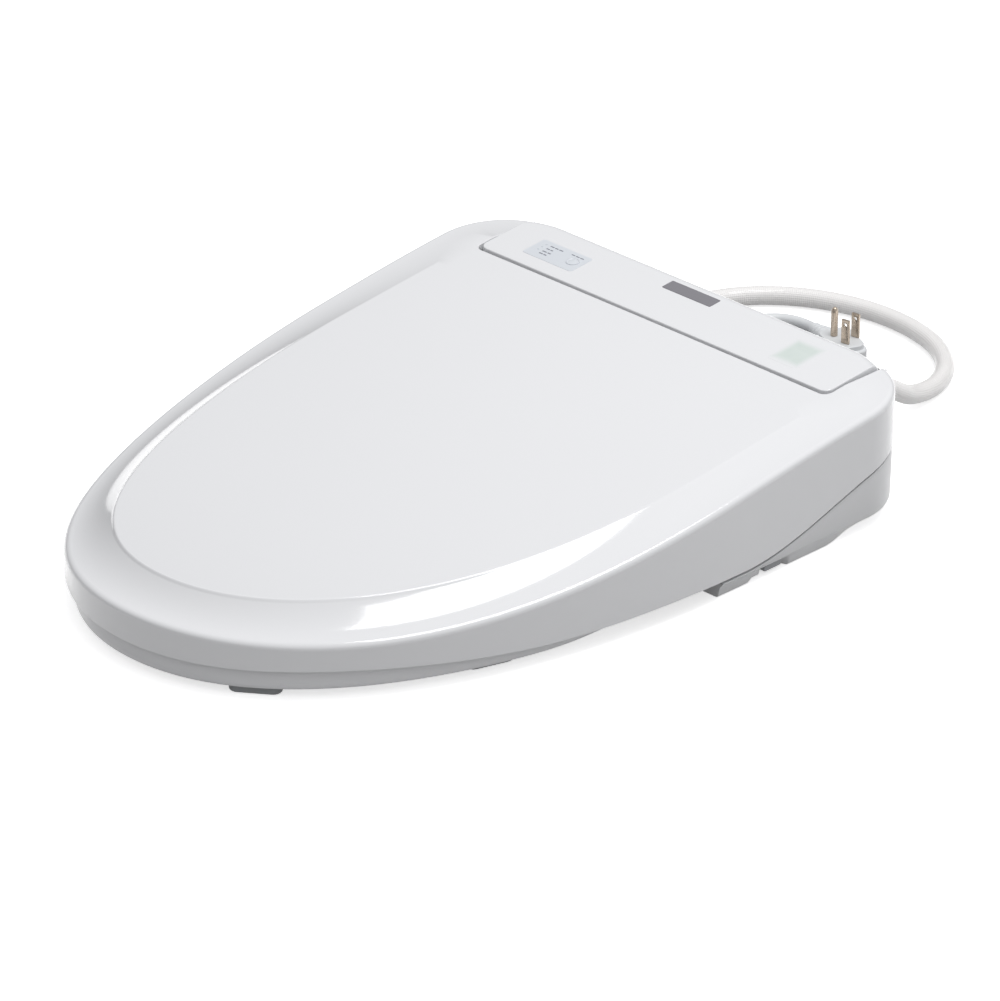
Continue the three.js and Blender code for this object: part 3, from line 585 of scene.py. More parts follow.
def basis(origin: Sequence[float], along: Sequence[float], side: Sequence[float] = (1, 0, 0)) -> np.ndarray:
    """A frame whose third axis is along.

    Args:
        origin: Its origin.
        along: Its third axis.
        side: About where its first axis points.

    Returns:
        A 4 by 4 matrix.
    """
    third = np.array(along, float) / np.linalg.norm(along)
    first = np.array(side, float) - np.dot(side, third) * third
    first /= np.linalg.norm(first)
    matrix = np.eye(4)
    matrix[:3, 0], matrix[:3, 1], matrix[:3, 2], matrix[:3, 3] = first, np.cross(third, first), third, origin
    return matrix


def moved(points: Sequence, matrix: np.ndarray) -> np.ndarray:
    """Points taken through a 4 by 4 matrix."""
    flat = np.asarray(points, float).reshape(-1, 3)
    return flat @ matrix[:3, :3].T + matrix[:3, 3]


def lathe(name: str, profile: Sequence[tuple[float, float]], place: np.ndarray, sides: int = 48,
          wave: Callable[[float], float] | None = None) -> bpy.types.Object:
    """A turned piece.

    Args:
        name: The piece's name.
        profile: Radius and height pairs from the bottom's middle to the top's middle.
        place: Its frame; it is turned about the third axis.
        sides: Steps round it.
        wave: A factor on the radius by angle.

    Returns:
        The object.
    """
    angles = np.linspace(0, 2 * math.pi, sides, endpoint=False)
    factor = np.array([wave(a) if wave else 1.0 for a in angles])
    rings = []
    for radius, height in profile:
        reach = max(radius, 1e-6) * factor
        ring = np.stack([reach * np.cos(angles), reach * np.sin(angles), np.full(sides, height)], 1)
        rings.append(moved(ring, place))
    points, faces = skin(rings, caps=(True, True))
    return even_shading(make_mesh(name, points, faces, sharp=35))


def rounded_loop(size_x: float, size_y: float, radius: float, steps: int = 8) -> np.ndarray:
    """A rectangle with round corners, centred, counter-clockwise.

    Args:
        size_x: Its width.
        size_y: Its depth.
        radius: The corners' radius.
        steps: Steps round a corner.

    Returns:
        The points, n by 2.
    """
    half_x, half_y = size_x / 2 - radius, size_y / 2 - radius
    points = []
    for quarter, (sx, sy) in enumerate(((1, 1), (-1, 1), (-1, -1), (1, -1))):
        for angle in np.linspace(0, math.pi / 2, steps + 1) + quarter * math.pi / 2:
            points.append((sx * half_x + radius * math.cos(angle), sy * half_y + radius * math.sin(angle)))
    return np.array(points)


def loop_normals(loop: np.ndarray) -> np.ndarray:
    """Outward normals of a counter-clockwise loop."""
    tangent = np.roll(loop, -1, 0) - np.roll(loop, 1, 0)
    normal = np.stack([tangent[:, 1], -tangent[:, 0]], 1)
    return normal / np.linalg.norm(normal, axis=1, keepdims=True)


def slab(name: str, loop: np.ndarray, low: float, high: float, place: np.ndarray,
         top: float = 0.0005, bottom: float = 0.0, steps: int = 4) -> bpy.types.Object:
    """A flat piece with rounded rims.

    Args:
        name: The piece's name.
        loop: Its outline.
        low: Its underside.
        high: Its top.
        place: Its frame.
        top: The radius of the upper rim.
        bottom: The radius of the lower rim.
        steps: Steps round a rim.

    Returns:
        The object.
    """
    normals = loop_normals(loop)
    rows: list[tuple[float, float]] = []
    for angle in np.linspace(0, math.pi / 2, steps + 1) if bottom else [math.pi / 2]:
        rows.append((bottom * (1 - math.sin(angle)), low + bottom * (1 - math.cos(angle))))
    for angle in np.linspace(0, math.pi / 2, steps + 1) if top else [0.0]:
        rows.append((top * (1 - math.cos(angle)), high - top * (1 - math.sin(angle))))
    rings = []
    for inset, height in rows:
        flat = loop - normals * inset
        rings.append(moved(np.column_stack([flat, np.full(len(flat), height)]), place))
    points, faces = skin(rings, caps=(True, True))
    return even_shading(make_mesh(name, points, faces, sharp=50))


def smooth_path(points: Sequence, spacing: float) -> np.ndarray:
    """A smooth line through points, at even steps.

    Args:
        points: The points that it passes.
        spacing: The step.

    Returns:
        Points along the line, n by 3.
    """
    p = np.asarray(points, float)
    p = np.vstack([2 * p[0] - p[1], p, 2 * p[-1] - p[-2]])
    dense = []
    for i in range(1, len(p) - 2):
        a, b, c, d = p[i - 1], p[i], p[i + 1], p[i + 2]
        ta = 0.0
        tb, tc, td = np.cumsum([max(np.linalg.norm(q - r), 1e-9) ** 0.5 for q, r in ((b, a), (c, b), (d, c))])
        for t in np.linspace(tb, tc, 24, endpoint=False):
            e = a * (tb - t) / (tb - ta) + b * (t - ta) / (tb - ta)
            f = b * (tc - t) / (tc - tb) + c * (t - tb) / (tc - tb)
            g = c * (td - t) / (td - tc) + d * (t - tc) / (td - tc)
            h = e * (tc - t) / (tc - ta) + f * (t - ta) / (tc - ta)
            k = f * (td - t) / (td - tb) + g * (t - tb) / (td - tb)
            dense.append(h * (tc - t) / (tc - tb) + k * (t - tb) / (tc - tb))
    dense = np.array(dense + [p[-2]])
    steps = np.r_[0, np.cumsum(np.linalg.norm(np.diff(dense, axis=0), axis=1))]
    even = np.linspace(0, steps[-1], max(3, int(round(steps[-1] / spacing)) + 1))
    return np.stack([np.interp(even, steps, dense[:, k]) for k in range(3)], 1)


def tube(name: str, path: np.ndarray, radius: float, sides: int, threads: tuple[float, float]) -> bpy.types.Object:
    """A round tube along a line, with a UV map in threads along and round it.

    Args:
        name: The piece's name.
        path: The line that it follows.
        radius: Its radius.
        sides: Steps round it.
        threads: Threads in a metre along it, and round it.

    Returns:
        The object.
    """
    tangents = np.gradient(path, axis=0)
    tangents /= np.linalg.norm(tangents, axis=1, keepdims=True)
    side = np.cross(tangents[0], (0.0, 0.0, 1.0))
    side /= np.linalg.norm(side)
    rings = []
    for point, tangent in zip(path, tangents):
        side = side - np.dot(side, tangent) * tangent
        side /= np.linalg.norm(side)
        other = np.cross(tangent, side)
        angles = np.linspace(0, 2 * math.pi, sides, endpoint=False)
        rings.append(point + radius * (np.outer(np.cos(angles), side) + np.outer(np.sin(angles), other)))
    points, faces = skin(rings, caps=(True, True))
    piece = make_mesh(name, points, faces, sharp=60)
    lengths = np.r_[0, np.cumsum(np.linalg.norm(np.diff(path, axis=0), axis=1))]
    layer = piece.data.uv_layers.new(name="UVMap")
    for face in piece.data.polygons:
        corners = list(face.vertices)
        rows, places = [v // sides for v in corners], [v % sides for v in corners]
        wraps = len(corners) == 4 and max(places) == sides - 1 and min(places) == 0
        for loop, row, spot in zip(face.loop_indices, rows, places):
            spot = sides if wraps and spot == 0 else spot
            layer.data[loop].uv = (lengths[row] * threads[0], spot / sides * threads[1])
    return piece


# ---------- The body's plan and height lines ----------
@dataclass(frozen=True)
class Plan:
    """The seat's plan outline and its height lines, in metres."""

    front: float = -0.2705
    rear: float = 0.2595
    half_width: float = 0.198
    corner: float = 0.055
    nose_reach: float = 0.117
    nose_handle: float = 0.1395
    nose_length: float = 0.356
    rim: tuple = (0.0437, 0.0448, 0.0689, 0.0892)
    rises: tuple = (0.015, 0.013, 0.0055, 0.003)
    crown_inset: float = 0.032
    base_front: float = 0.066
    seam: float = 0.199
    seat_rear: float = 0.195

    def half(self, nose: int, flank: int, turn: int, back: int, rear: float | None = None,
             corner: float | None = None) -> tuple[np.ndarray, np.ndarray]:
        """Half the outline, from the nose to the middle of the rear.

        Args:
            nose: Steps round the nose.
            flank: Steps along the flank.
            turn: Steps round the corner.
            back: Steps along the rear.
            rear: Another rear line.
            corner: Another corner radius.

        Returns:
            Points and outward normals, n by 2.
        """
        rear = self.rear if rear is None else rear
        corner = self.corner if corner is None else corner
        a, b = np.array((0.0, self.front)), np.array((self.nose_reach, self.front))
        c = np.array((self.half_width, self.front + self.nose_handle))
        d = np.array((self.half_width, self.front + self.nose_length))
        t = np.linspace(0, 1, nose, endpoint=False)[:, None]
        s = 1 - t
        curve = a * s**3 + 3 * b * s**2 * t + 3 * c * s * t**2 + d * t**3
        slope = 3 * ((b - a) * s**2 + 2 * (c - b) * s * t + (d - c) * t**2)
        slope /= np.linalg.norm(slope, axis=1, keepdims=True)
        normal = np.stack([slope[:, 1], -slope[:, 0]], 1)
        y = np.linspace(d[1], rear - corner, flank, endpoint=False)
        curve = np.vstack([curve, np.stack([np.full(flank, self.half_width), y], 1)])
        normal = np.vstack([normal, np.tile((1.0, 0.0), (flank, 1))])
        angle = np.linspace(0, math.pi / 2, turn, endpoint=False)
        arc = np.stack([np.cos(angle), np.sin(angle)], 1)
        curve = np.vstack([curve, arc * corner + (self.half_width - corner, rear - corner)])
        normal = np.vstack([normal, arc])
        x = np.linspace(self.half_width - corner, 0, back + 1)
        curve = np.vstack([curve, np.stack([x, np.full(back + 1, rear)], 1)])
        normal = np.vstack([normal, np.tile((0.0, 1.0), (back + 1, 1))])
        return curve, normal

    def whole(self, nose: int = 120, flank: int = 36, turn: int = 24, back: int = 44, rear: float | None = None,
              corner: float | None = None) -> tuple[np.ndarray, np.ndarray]:
        """The whole outline, counter-clockwise from the nose, with outward normals."""
        curve, normal = self.half(nose, flank, turn, back, rear, corner)
        mirror = np.array((-1.0, 1.0))
        return (np.vstack([curve, (curve * mirror)[-2:0:-1]]),
                np.vstack([normal, (normal * mirror)[-2:0:-1]]))

    def on_corner(self, x: float, inset: float = 0.0) -> tuple[float, tuple[float, float]]:
        """Where a line along y meets the rear corner.

        Args:
            x: The line's place.
            inset: How far in from the outline.

        Returns:
            The y there and the outward normal.
        """
        radius = self.corner - inset
        across = (x - self.half_width + self.corner) / radius
        along = math.sqrt(1 - across**2)
        return self.rear - self.corner + radius * along, (across, along)

    def through(self, values: Sequence[float], y: np.ndarray) -> np.ndarray:
        """The cubic through four values at even stations from nose to rear."""
        t = 3 * (np.asarray(y, float) - self.front) / (self.rear - self.front)
        total = np.zeros_like(t)
        for i, value in enumerate(values):
            weight = np.full_like(t, value)
            for k in range(4):
                if k != i:
                    weight = weight * (t - k) / (i - k)
            total = total + weight
        return total

    def skirt(self, y: np.ndarray) -> np.ndarray:
        """The lower edge of the lid's skirt."""
        nose = 1 - smoothstep(y, self.front + 0.040, self.front + 0.220)
        rear = smoothstep(y, self.base_front + 0.019, self.rear + 0.0025)
        return 0.0133 + nose * 0.008 + rear * 0.0377

    def seat_bottom(self, y: np.ndarray) -> np.ndarray:
        """The underside of the seat: level along the bowl, then climbing over the base."""
        y = np.asarray(y, float)
        start = self.base_front - 0.146
        climb = 0.006 + 0.027 * (np.clip(y - start, 0, 0.146) / 0.146) ** 2
        over = 0.017 * np.clip((y - self.base_front) / (self.seat_rear - self.base_front), 0, 2)
        return climb + over

    def seat_top(self, y: np.ndarray) -> np.ndarray:
        """The top of the seat."""
        thin = smoothstep(y, self.base_front - 0.146, self.base_front)
        return self.seat_bottom(y) + 0.028 - 0.0135 * thin


PLAN = Plan()


@dataclass
class Edge:
    """One stretch of a plan boundary: its points, inward direction and rounding."""

    points: np.ndarray
    inward: np.ndarray
    radius: float
    insets: Sequence[float]

    def distance(self, where: np.ndarray) -> np.ndarray:
        """How far points lie from the stretch.

        Args:
            where: Points, n by 2.

        Returns:
            The distances.
        """
        a, b = self.points[:-1], self.points[1:]
        run = b - a
        size = np.maximum((run**2).sum(1), 1e-18)
        best = np.full(len(where), 1e9)
        for start in range(0, len(where), 4000):
            some = where[start:start + 4000]
            t = np.clip(((some[:, None] - a) * run).sum(2) / size, 0, 1)
            gap = some[:, None] - (a + t[..., None] * run)
            best[start:start + 4000] = np.sqrt((gap**2).sum(2).min(1))
        return best


@dataclass
class Shell:
    """A moulded shell: a domed top over a plan, rounded rims, walls down to a lower edge, hollow inside."""

    name: str
    edges: list[Edge]
    level: Callable[[np.ndarray, list[np.ndarray]], np.ndarray]
    lower: Callable[[np.ndarray], np.ndarray]
    wall: float = 0.0025
    grid: float = 0.008
    lip: float = 0.0006

    def _height(self, where: np.ndarray) -> np.ndarray:
        """The top's height with its rounded rims.

        Args:
            where: Points, n by 2.

        Returns:
            The heights.
        """
        gaps = [edge.distance(where) for edge in self.edges]
        height = self.level(where, gaps)
        for edge, gap in zip(self.edges, gaps):
            r = edge.radius
            height = height - (r - np.sqrt(np.maximum(r * r - np.maximum(r - gap, 0) ** 2, 0)))
        return height

    def _inside(self, where: np.ndarray, loop: np.ndarray) -> np.ndarray:
        """Which points lie inside a loop."""
        x, y = where[:, 0], where[:, 1]
        inside = np.zeros(len(where), bool)
        for (x0, y0), (x1, y1) in zip(loop, np.roll(loop, -1, 0)):
            crosses = (y0 > y) != (y1 > y)
            if crosses.any():
                reach = x0 + (y - y0) * (x1 - x0) / ((y1 - y0) or 1e-12)
                inside ^= crosses & (x < reach)
        return inside

    def build(self) -> bpy.types.Object:
        """Makes the shell.

        Returns:
            The object.
        """
        loop = np.vstack([edge.points[:-1] for edge in self.edges])
        inward = np.vstack([edge.inward[:-1] for edge in self.edges])
        rows = [loop]
        for edge in self.edges:
            for inset in edge.insets:
                ring = edge.points + edge.inward * inset
                clear = self._inside(ring, loop)
                for other in self.edges:
                    clear &= other.distance(ring) > inset * 0.97 + 1e-5
                rows.append(ring[clear])
        low, high = loop.min(0), loop.max(0)
        xs, ys = np.arange(low[0], high[0], self.grid), np.arange(low[1], high[1], self.grid)
        net = np.stack(np.meshgrid(xs, ys), -1).reshape(-1, 2)
        clear = self._inside(net, loop)
        for edge in self.edges:
            deepest = max(edge.insets) if len(edge.insets) else 0
            clear &= edge.distance(net) > deepest + self.grid / 3
        rows.append(net[clear])
        flat = np.vstack(rows)
        found = delaunay_2d_cdt([Vector(p) for p in flat.tolist()], [], [list(range(len(loop)))], 1, 1e-7)
        spots = np.array([tuple(p) for p in found[0]])
        origin = found[3]
        triangles = [tuple(f) for f in found[2]]
        first = {source: i for i, sources in enumerate(origin) for source in sources}
        border = [first[i] for i in range(len(loop))]
        return self._close(spots, triangles, border, inward)

    def _slopes(self, spots: np.ndarray) -> np.ndarray:
        """Shading normals of the top.

        Args:
            spots: Points, n by 2.

        Returns:
            Unit normals, n by 3.
        """
        h = 2e-5
        dx = (self._height(spots + (h, 0)) - self._height(spots - (h, 0))) / (2 * h)
        dy = (self._height(spots + (0, h)) - self._height(spots - (0, h))) / (2 * h)
        normal = np.stack([-dx, -dy, np.ones(len(spots))], 1)
        return normal / np.linalg.norm(normal, axis=1, keepdims=True)

    def _close(self, spots: np.ndarray, triangles: list, border: list[int], inward: np.ndarray) -> bpy.types.Object:
        """Adds the walls and the inside.

        Args:
            spots: The top's points in plan.
            triangles: Its triangles.
            border: The points on its border, in order.
            inward: The inward direction at each border point.

        Returns:
            The object.
        """
        top = self._height(spots)
        normals = self._slopes(spots)
        normals[border] = np.column_stack([-inward, np.zeros(len(border))])
        points = [np.column_stack([spots, top])]
        shade = [normals]
        faces = list(triangles)
        count = len(spots)
        rim, foot = spots[border], self.lower(spots[border])
        rim_top = top[border]
        drop = [(0.0, 0.5), (0.0, 1.0), (0.3, None), (1.0, None)]
        rows = [(0.0, rim_top * 0.5 + (foot + self.lip) * 0.5, 1.0), (0.0, foot + self.lip, 1.0)]
        rows += [(0.3 * self.lip, foot + 0.3 * self.lip, 0.7), (self.lip, foot, 0.0)]
        rows += [(self.wall, foot, 0.0)]
        before = list(border)
        for inset, height, side in rows:
            ring = rim + inward * inset
            points.append(np.column_stack([ring, height]))
            lean = np.column_stack([-inward * side, np.full(len(border), side - 1.0)])
            shade.append(lean / np.linalg.norm(lean, axis=1, keepdims=True))
            now = list(range(count, count + len(border)))
            count += len(border)
            faces += self._strip(before, now)
            before = now
        shift, inner = self._lining(spots, border, inward)
        points.append(inner)
        shade.append(np.zeros_like(inner))
        base = count
        lining = [base + i for i in border]
        faces += self._strip(before, lining)
        faces += [(base + c, base + b, base + a) for a, b, c in triangles]
        return make_mesh(self.name, np.vstack(points), faces, np.vstack(shade))

    def _strip(self, upper: list[int], under: list[int]) -> list[tuple]:
        """Faces between two rows of border points.

        Args:
            upper: The first row.
            under: The second row.

        Returns:
            The faces.
        """
        size = len(upper)
        return [(upper[(i + 1) % size], upper[i], under[i], under[(i + 1) % size]) for i in range(size)]

    def _lining(self, spots: np.ndarray, border: list[int], inward: np.ndarray) -> tuple[np.ndarray, np.ndarray]:
        """The inner face under the top.

        Args:
            spots: The top's points in plan.
            border: The points on its border.
            inward: The inward direction at each border point.

        Returns:
            How far each point moved, and the lining's points.
        """
        reach = 5 * self.wall
        nearest = np.full(len(spots), 1e9)
        way = np.zeros_like(spots)
        for edge in self.edges:
            gap = edge.distance(spots)
            h = 1e-5
            slope = np.stack([(edge.distance(spots + (h, 0)) - gap) / h, (edge.distance(spots + (0, h)) - gap) / h], 1)
            closer = gap < nearest
            way[closer], nearest[closer] = slope[closer], gap[closer]
        way[border] = inward
        nearest[border] = 0
        size = np.maximum(np.linalg.norm(way, axis=1, keepdims=True), 1e-9)
        shift = np.clip(1 - nearest / reach, 0, 1)[:, None] * self.wall
        inner = spots + way / size * shift
        gaps = [edge.distance(inner) for edge in self.edges]
        return shift, np.column_stack([inner, self.level(inner, gaps) - self.wall])


# ---------- Lid ----------
@dataclass
class Lid:
    """The lid: a raised panel in a coved border, a skirt, and a notch for the bridge."""

    shop: Workshop
    notch_half: float = 0.1608
    notch_corner: float = 0.006
    rim_radius: float = 0.0042
    seam_radius: float = 0.0007
    crease: float = 0.05
    cheek_foot: float = 0.0395
    flange: float = 0.006

    def _level(self, where: np.ndarray, gaps: list[np.ndarray]) -> np.ndarray:
        """The top's height before its rims are rounded.

        Args:
            where: Points, n by 2.
            gaps: Distances to the outline and to the notch.

        Returns:
            The heights.
        """
        y = where[:, 1]
        cove = (np.maximum(gaps[0], 0) / PLAN.crown_inset) ** 1.8
        near = np.maximum(self.crease - np.abs(cove - 1), 0) / self.crease
        cove = np.minimum(cove, 1) - near**2 * self.crease / 4
        crown = 0.0006 * np.clip(1 - (where[:, 0] / 0.17) ** 2, 0, 1)
        return PLAN.through(PLAN.rim, y) + PLAN.through(PLAN.rises, y) * cove + crown * smoothstep(cove, 0.9, 1.0)

    def _foot(self, where: np.ndarray) -> np.ndarray:
        """The lower edge of the walls."""
        x, y = np.abs(where[:, 0]), where[:, 1]
        skirt = PLAN.skirt(y)
        flange = PLAN.through(PLAN.rim, y) + PLAN.through(PLAN.rises, y) - self.flange
        inner = (x < self.notch_half + 1e-5) & (y > PLAN.seam - 0.001)
        seam = inner & (y < PLAN.seam + 0.0005)
        foot = np.where(inner, np.maximum(skirt, self.cheek_foot), skirt)
        return np.where(seam, flange, foot)

    def _edges(self) -> list[Edge]:
        """The outline and the notch.

        Returns:
            The two stretches of the border.
        """
        points, normals = PLAN.half(120, 36, 40, 44)
        mirror = np.array((-1.0, 1.0))
        ahead = (points[:, 1] < PLAN.seam) | (points[:, 0] > self.notch_half + 1e-4)
        rear_y, lean = PLAN.on_corner(self.notch_half)
        right = np.vstack([points[ahead], [[self.notch_half, rear_y]]])
        right_n = np.vstack([normals[ahead], [lean]])
        outline = np.vstack([(right * mirror)[:0:-1], right])
        outline_n = np.vstack([(right_n * mirror)[:0:-1], right_n])
        r = self.notch_corner
        side = [(self.notch_half, y) for y in np.linspace(rear_y, PLAN.seam + r, 16)]
        way = [(1.0, 0.0)] * len(side)
        for angle in np.linspace(0, math.pi / 2, 9)[1:]:
            c, s = math.cos(angle), math.sin(angle)
            side.append((self.notch_half - r + r * c, PLAN.seam + r - r * s))
            way.append((c, -s))
        for x in np.linspace(self.notch_half - r, 0, 40)[1:]:
            side.append((x, PLAN.seam))
            way.append((0.0, -1.0))
        side_n, way_n = np.array(side), np.array(way)
        notch = np.vstack([side_n, (side_n * mirror)[-2::-1]])
        notch_way = np.vstack([way_n, (way_n * mirror)[-2::-1]])
        rim = [i * MM for i in (0.08, 0.3, 0.7, 1.2, 1.8, 2.4, 3.0, 4.5, 6.5, 9, 12, 15, 18, 21, 24, 26.5,
                                28.5, 30, 30.8, 31.4, 31.8, 32.2, 32.6, 33.2, 34, 36)]
        seam = [i * self.seam_radius for i in (0.05, 0.2, 0.45, 0.75, 1.0, 2.5)]
        return [Edge(outline, -outline_n, self.rim_radius, rim), Edge(notch, notch_way, self.seam_radius, seam)]

    def build(self) -> None:
        """Makes the lid and its two bumpers."""
        shell = Shell("lid", self._edges(), self._level, self._foot, wall=0.0016)
        self.shop.dress(shell.build(), "lid", "gloss_white", "lid_shell")
        for side in ("left", "right"):
            low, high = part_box(f"lid_bumper_{side}")
            r, h = (high.x - low.x) / 2, high.z - low.z
            place = basis(((low.x + high.x) / 2, (low.y + high.y) / 2, low.z), UP)
            profile = [(0, 0), (r * 0.62, 0), (r * 0.76, h * 0.03), (r * 0.82, h * 0.1), (r * 0.84, h * 0.55),
                       (r * 0.88, h * 0.7), (r * 0.99, h * 0.8), (r, h * 0.97), (r * 0.96, h), (0, h)]
            self.shop.dress(lathe(f"lid_pad_{side}", profile, place), "lid", "pale_rubber", f"lid_bumper_{side}")


# ---------- Seat ----------
@dataclass
class Seat:
    """The heated ring, its underside and its bumpers."""

    shop: Workshop
    inset: float = 0.0055
    wall: float = 0.003
    hole_y: float = -0.0355
    hole_half: float = 0.105
    hole_front: float = 0.150
    hole_rear: float = 0.110

    def _outer(self, inset: float, height: Callable, lift: float = 0.0) -> np.ndarray:
        """A ring round the seat's edge.

        Args:
            inset: How far in from the lid's outline.
            height: A height line over y.
            lift: Added to the height.

        Returns:
            The ring.
        """
        points, normals = PLAN.whole(60, 14, 14, 18, PLAN.seat_rear + self.inset, 0.020)
        flat = points - normals * inset
        return np.column_stack([flat, height(flat[:, 1]) + lift])

    def _hole(self, grow: float, height: Callable, lift: float = 0.0) -> np.ndarray:
        """A ring round the opening, in line with the outer ring's points."""
        points, _ = PLAN.whole(60, 14, 14, 18, PLAN.seat_rear + self.inset, 0.020)
        ahead = points[:, 1] - self.hole_y
        reach = np.where(ahead < 0, self.hole_front, self.hole_rear)
        scale = 1 / np.hypot(points[:, 0] / (self.hole_half + grow), ahead / (reach + grow))
        flat = np.stack([points[:, 0] * scale, self.hole_y + ahead * scale], 1)
        return np.column_stack([flat, height(flat[:, 1]) + lift])

    def _between(self, share: float, height: Callable, lift: float) -> np.ndarray:
        """A ring part of the way from the edge to the opening."""
        a, b = self._outer(self.inset + 0.012, height), self._hole(0.022, height)
        flat = (a * (1 - share) + b * share)[:, :2]
        return np.column_stack([flat, height(flat[:, 1]) + lift])

    def _ring(self) -> bpy.types.Object:
        """The moulded ring, open underneath.

        Returns:
            The object.
        """
        i, top, low = self.inset, PLAN.seat_top, PLAN.seat_bottom
        rings = [
            self._outer(i + 0.0008, low), self._outer(i, low, 0.0008), self._outer(i, low, 0.004),
            self._outer(i + 0.0004, top, -0.010), self._outer(i + 0.0010, top, -0.0055),
            self._outer(i + 0.0032, top, -0.0022), self._outer(i + 0.0072, top, -0.0006),
            self._outer(i + 0.014, top), self._between(0.3, top, 0.0), self._between(0.7, top, -0.0004),
            self._hole(0.020, top, -0.0012), self._hole(0.011, top, -0.0024), self._hole(0.0045, top, -0.0052),
            self._hole(0.0008, top, -0.010), self._hole(0, low, 0.004), self._hole(0, low, 0.0006),
            self._hole(0.0006, low), self._hole(self.wall, low), self._hole(self.wall, low, 0.003),
            self._hole(self.wall + 0.001, top, -0.011), self._hole(0.020, top, -0.0045),
            self._between(0.5, top, -0.0034), self._outer(i + 0.014, top, -self.wall),
            self._outer(i + 0.0045, top, -0.009), self._outer(i + self.wall, low, 0.003),
            self._outer(i + self.wall, low),
        ]
        points, faces = skin(rings, round_loft=True)
        piece = make_mesh("seat_ring", points, faces, sharp=180)
        piece.modifiers.new("smooth", "SUBSURF").levels = 1
        return bake_modifiers(piece)

    def _plate(self) -> bpy.types.Object:
        """The plate under the ring, with a low bead round its edges.

        Returns:
            The object.
        """
        gap, low, t = self.wall + 0.0003, PLAN.seat_bottom, 0.0024
        i = self.inset + gap
        rings = [
            self._outer(i, low, 0.0004), self._outer(i + 0.0004, low), self._outer(i + 0.005, low),
            self._outer(i + 0.006, low, 0.0006), self._between(0.25, low, 0.0006), self._between(0.75, low, 0.0006),
            self._hole(gap + 0.006, low, 0.0006), self._hole(gap + 0.005, low), self._hole(gap + 0.0004, low),
            self._hole(gap, low, 0.0004), self._hole(gap, low, t), self._between(0.5, low, t),
            self._outer(i + 0.0008, low, t),
        ]
        points, faces = skin(rings[::-1], round_loft=True)
        return make_mesh("seat_underside", points, faces, sharp=30)

    def build(self) -> None:
        """Makes the ring, the underside and four bumpers."""
        self.shop.dress(self._ring(), "seat", "gloss_white", "seat_top")
        self.shop.dress(self._plate(), "seat", "satin_white", "seat_bottom_plate")
        for name in ("front_left", "front_right", "rear_left", "rear_right"):
            self._bumper(name)

    def _bumper(self, name: str) -> None:
        """One bumper: a long pad with round ends and rounded rims.

        Args:
            name: Where it sits.
        """
        data = frame["nodes"][f"seat_bumper_{name}"].data
        flat = np.array([v.co for v in data.vertices])
        centre = flat.mean(0)
        spread = np.linalg.svd(flat[:, :2] - centre[:2])[2][0]
        low, high = float(flat[:, 2].min()), float(flat[:, 2].max())
        place = basis((centre[0], centre[1], 0.0), UP, (spread[0], spread[1], 0.0))
        pad = slab(f"seat_pad_{name}", rounded_loop(0.034, 0.013, 0.006), low, high, place, 0.0008, 0.0016)
        self.shop.dress(pad, "seat", "pale_rubber", f"seat_bumper_{name}")


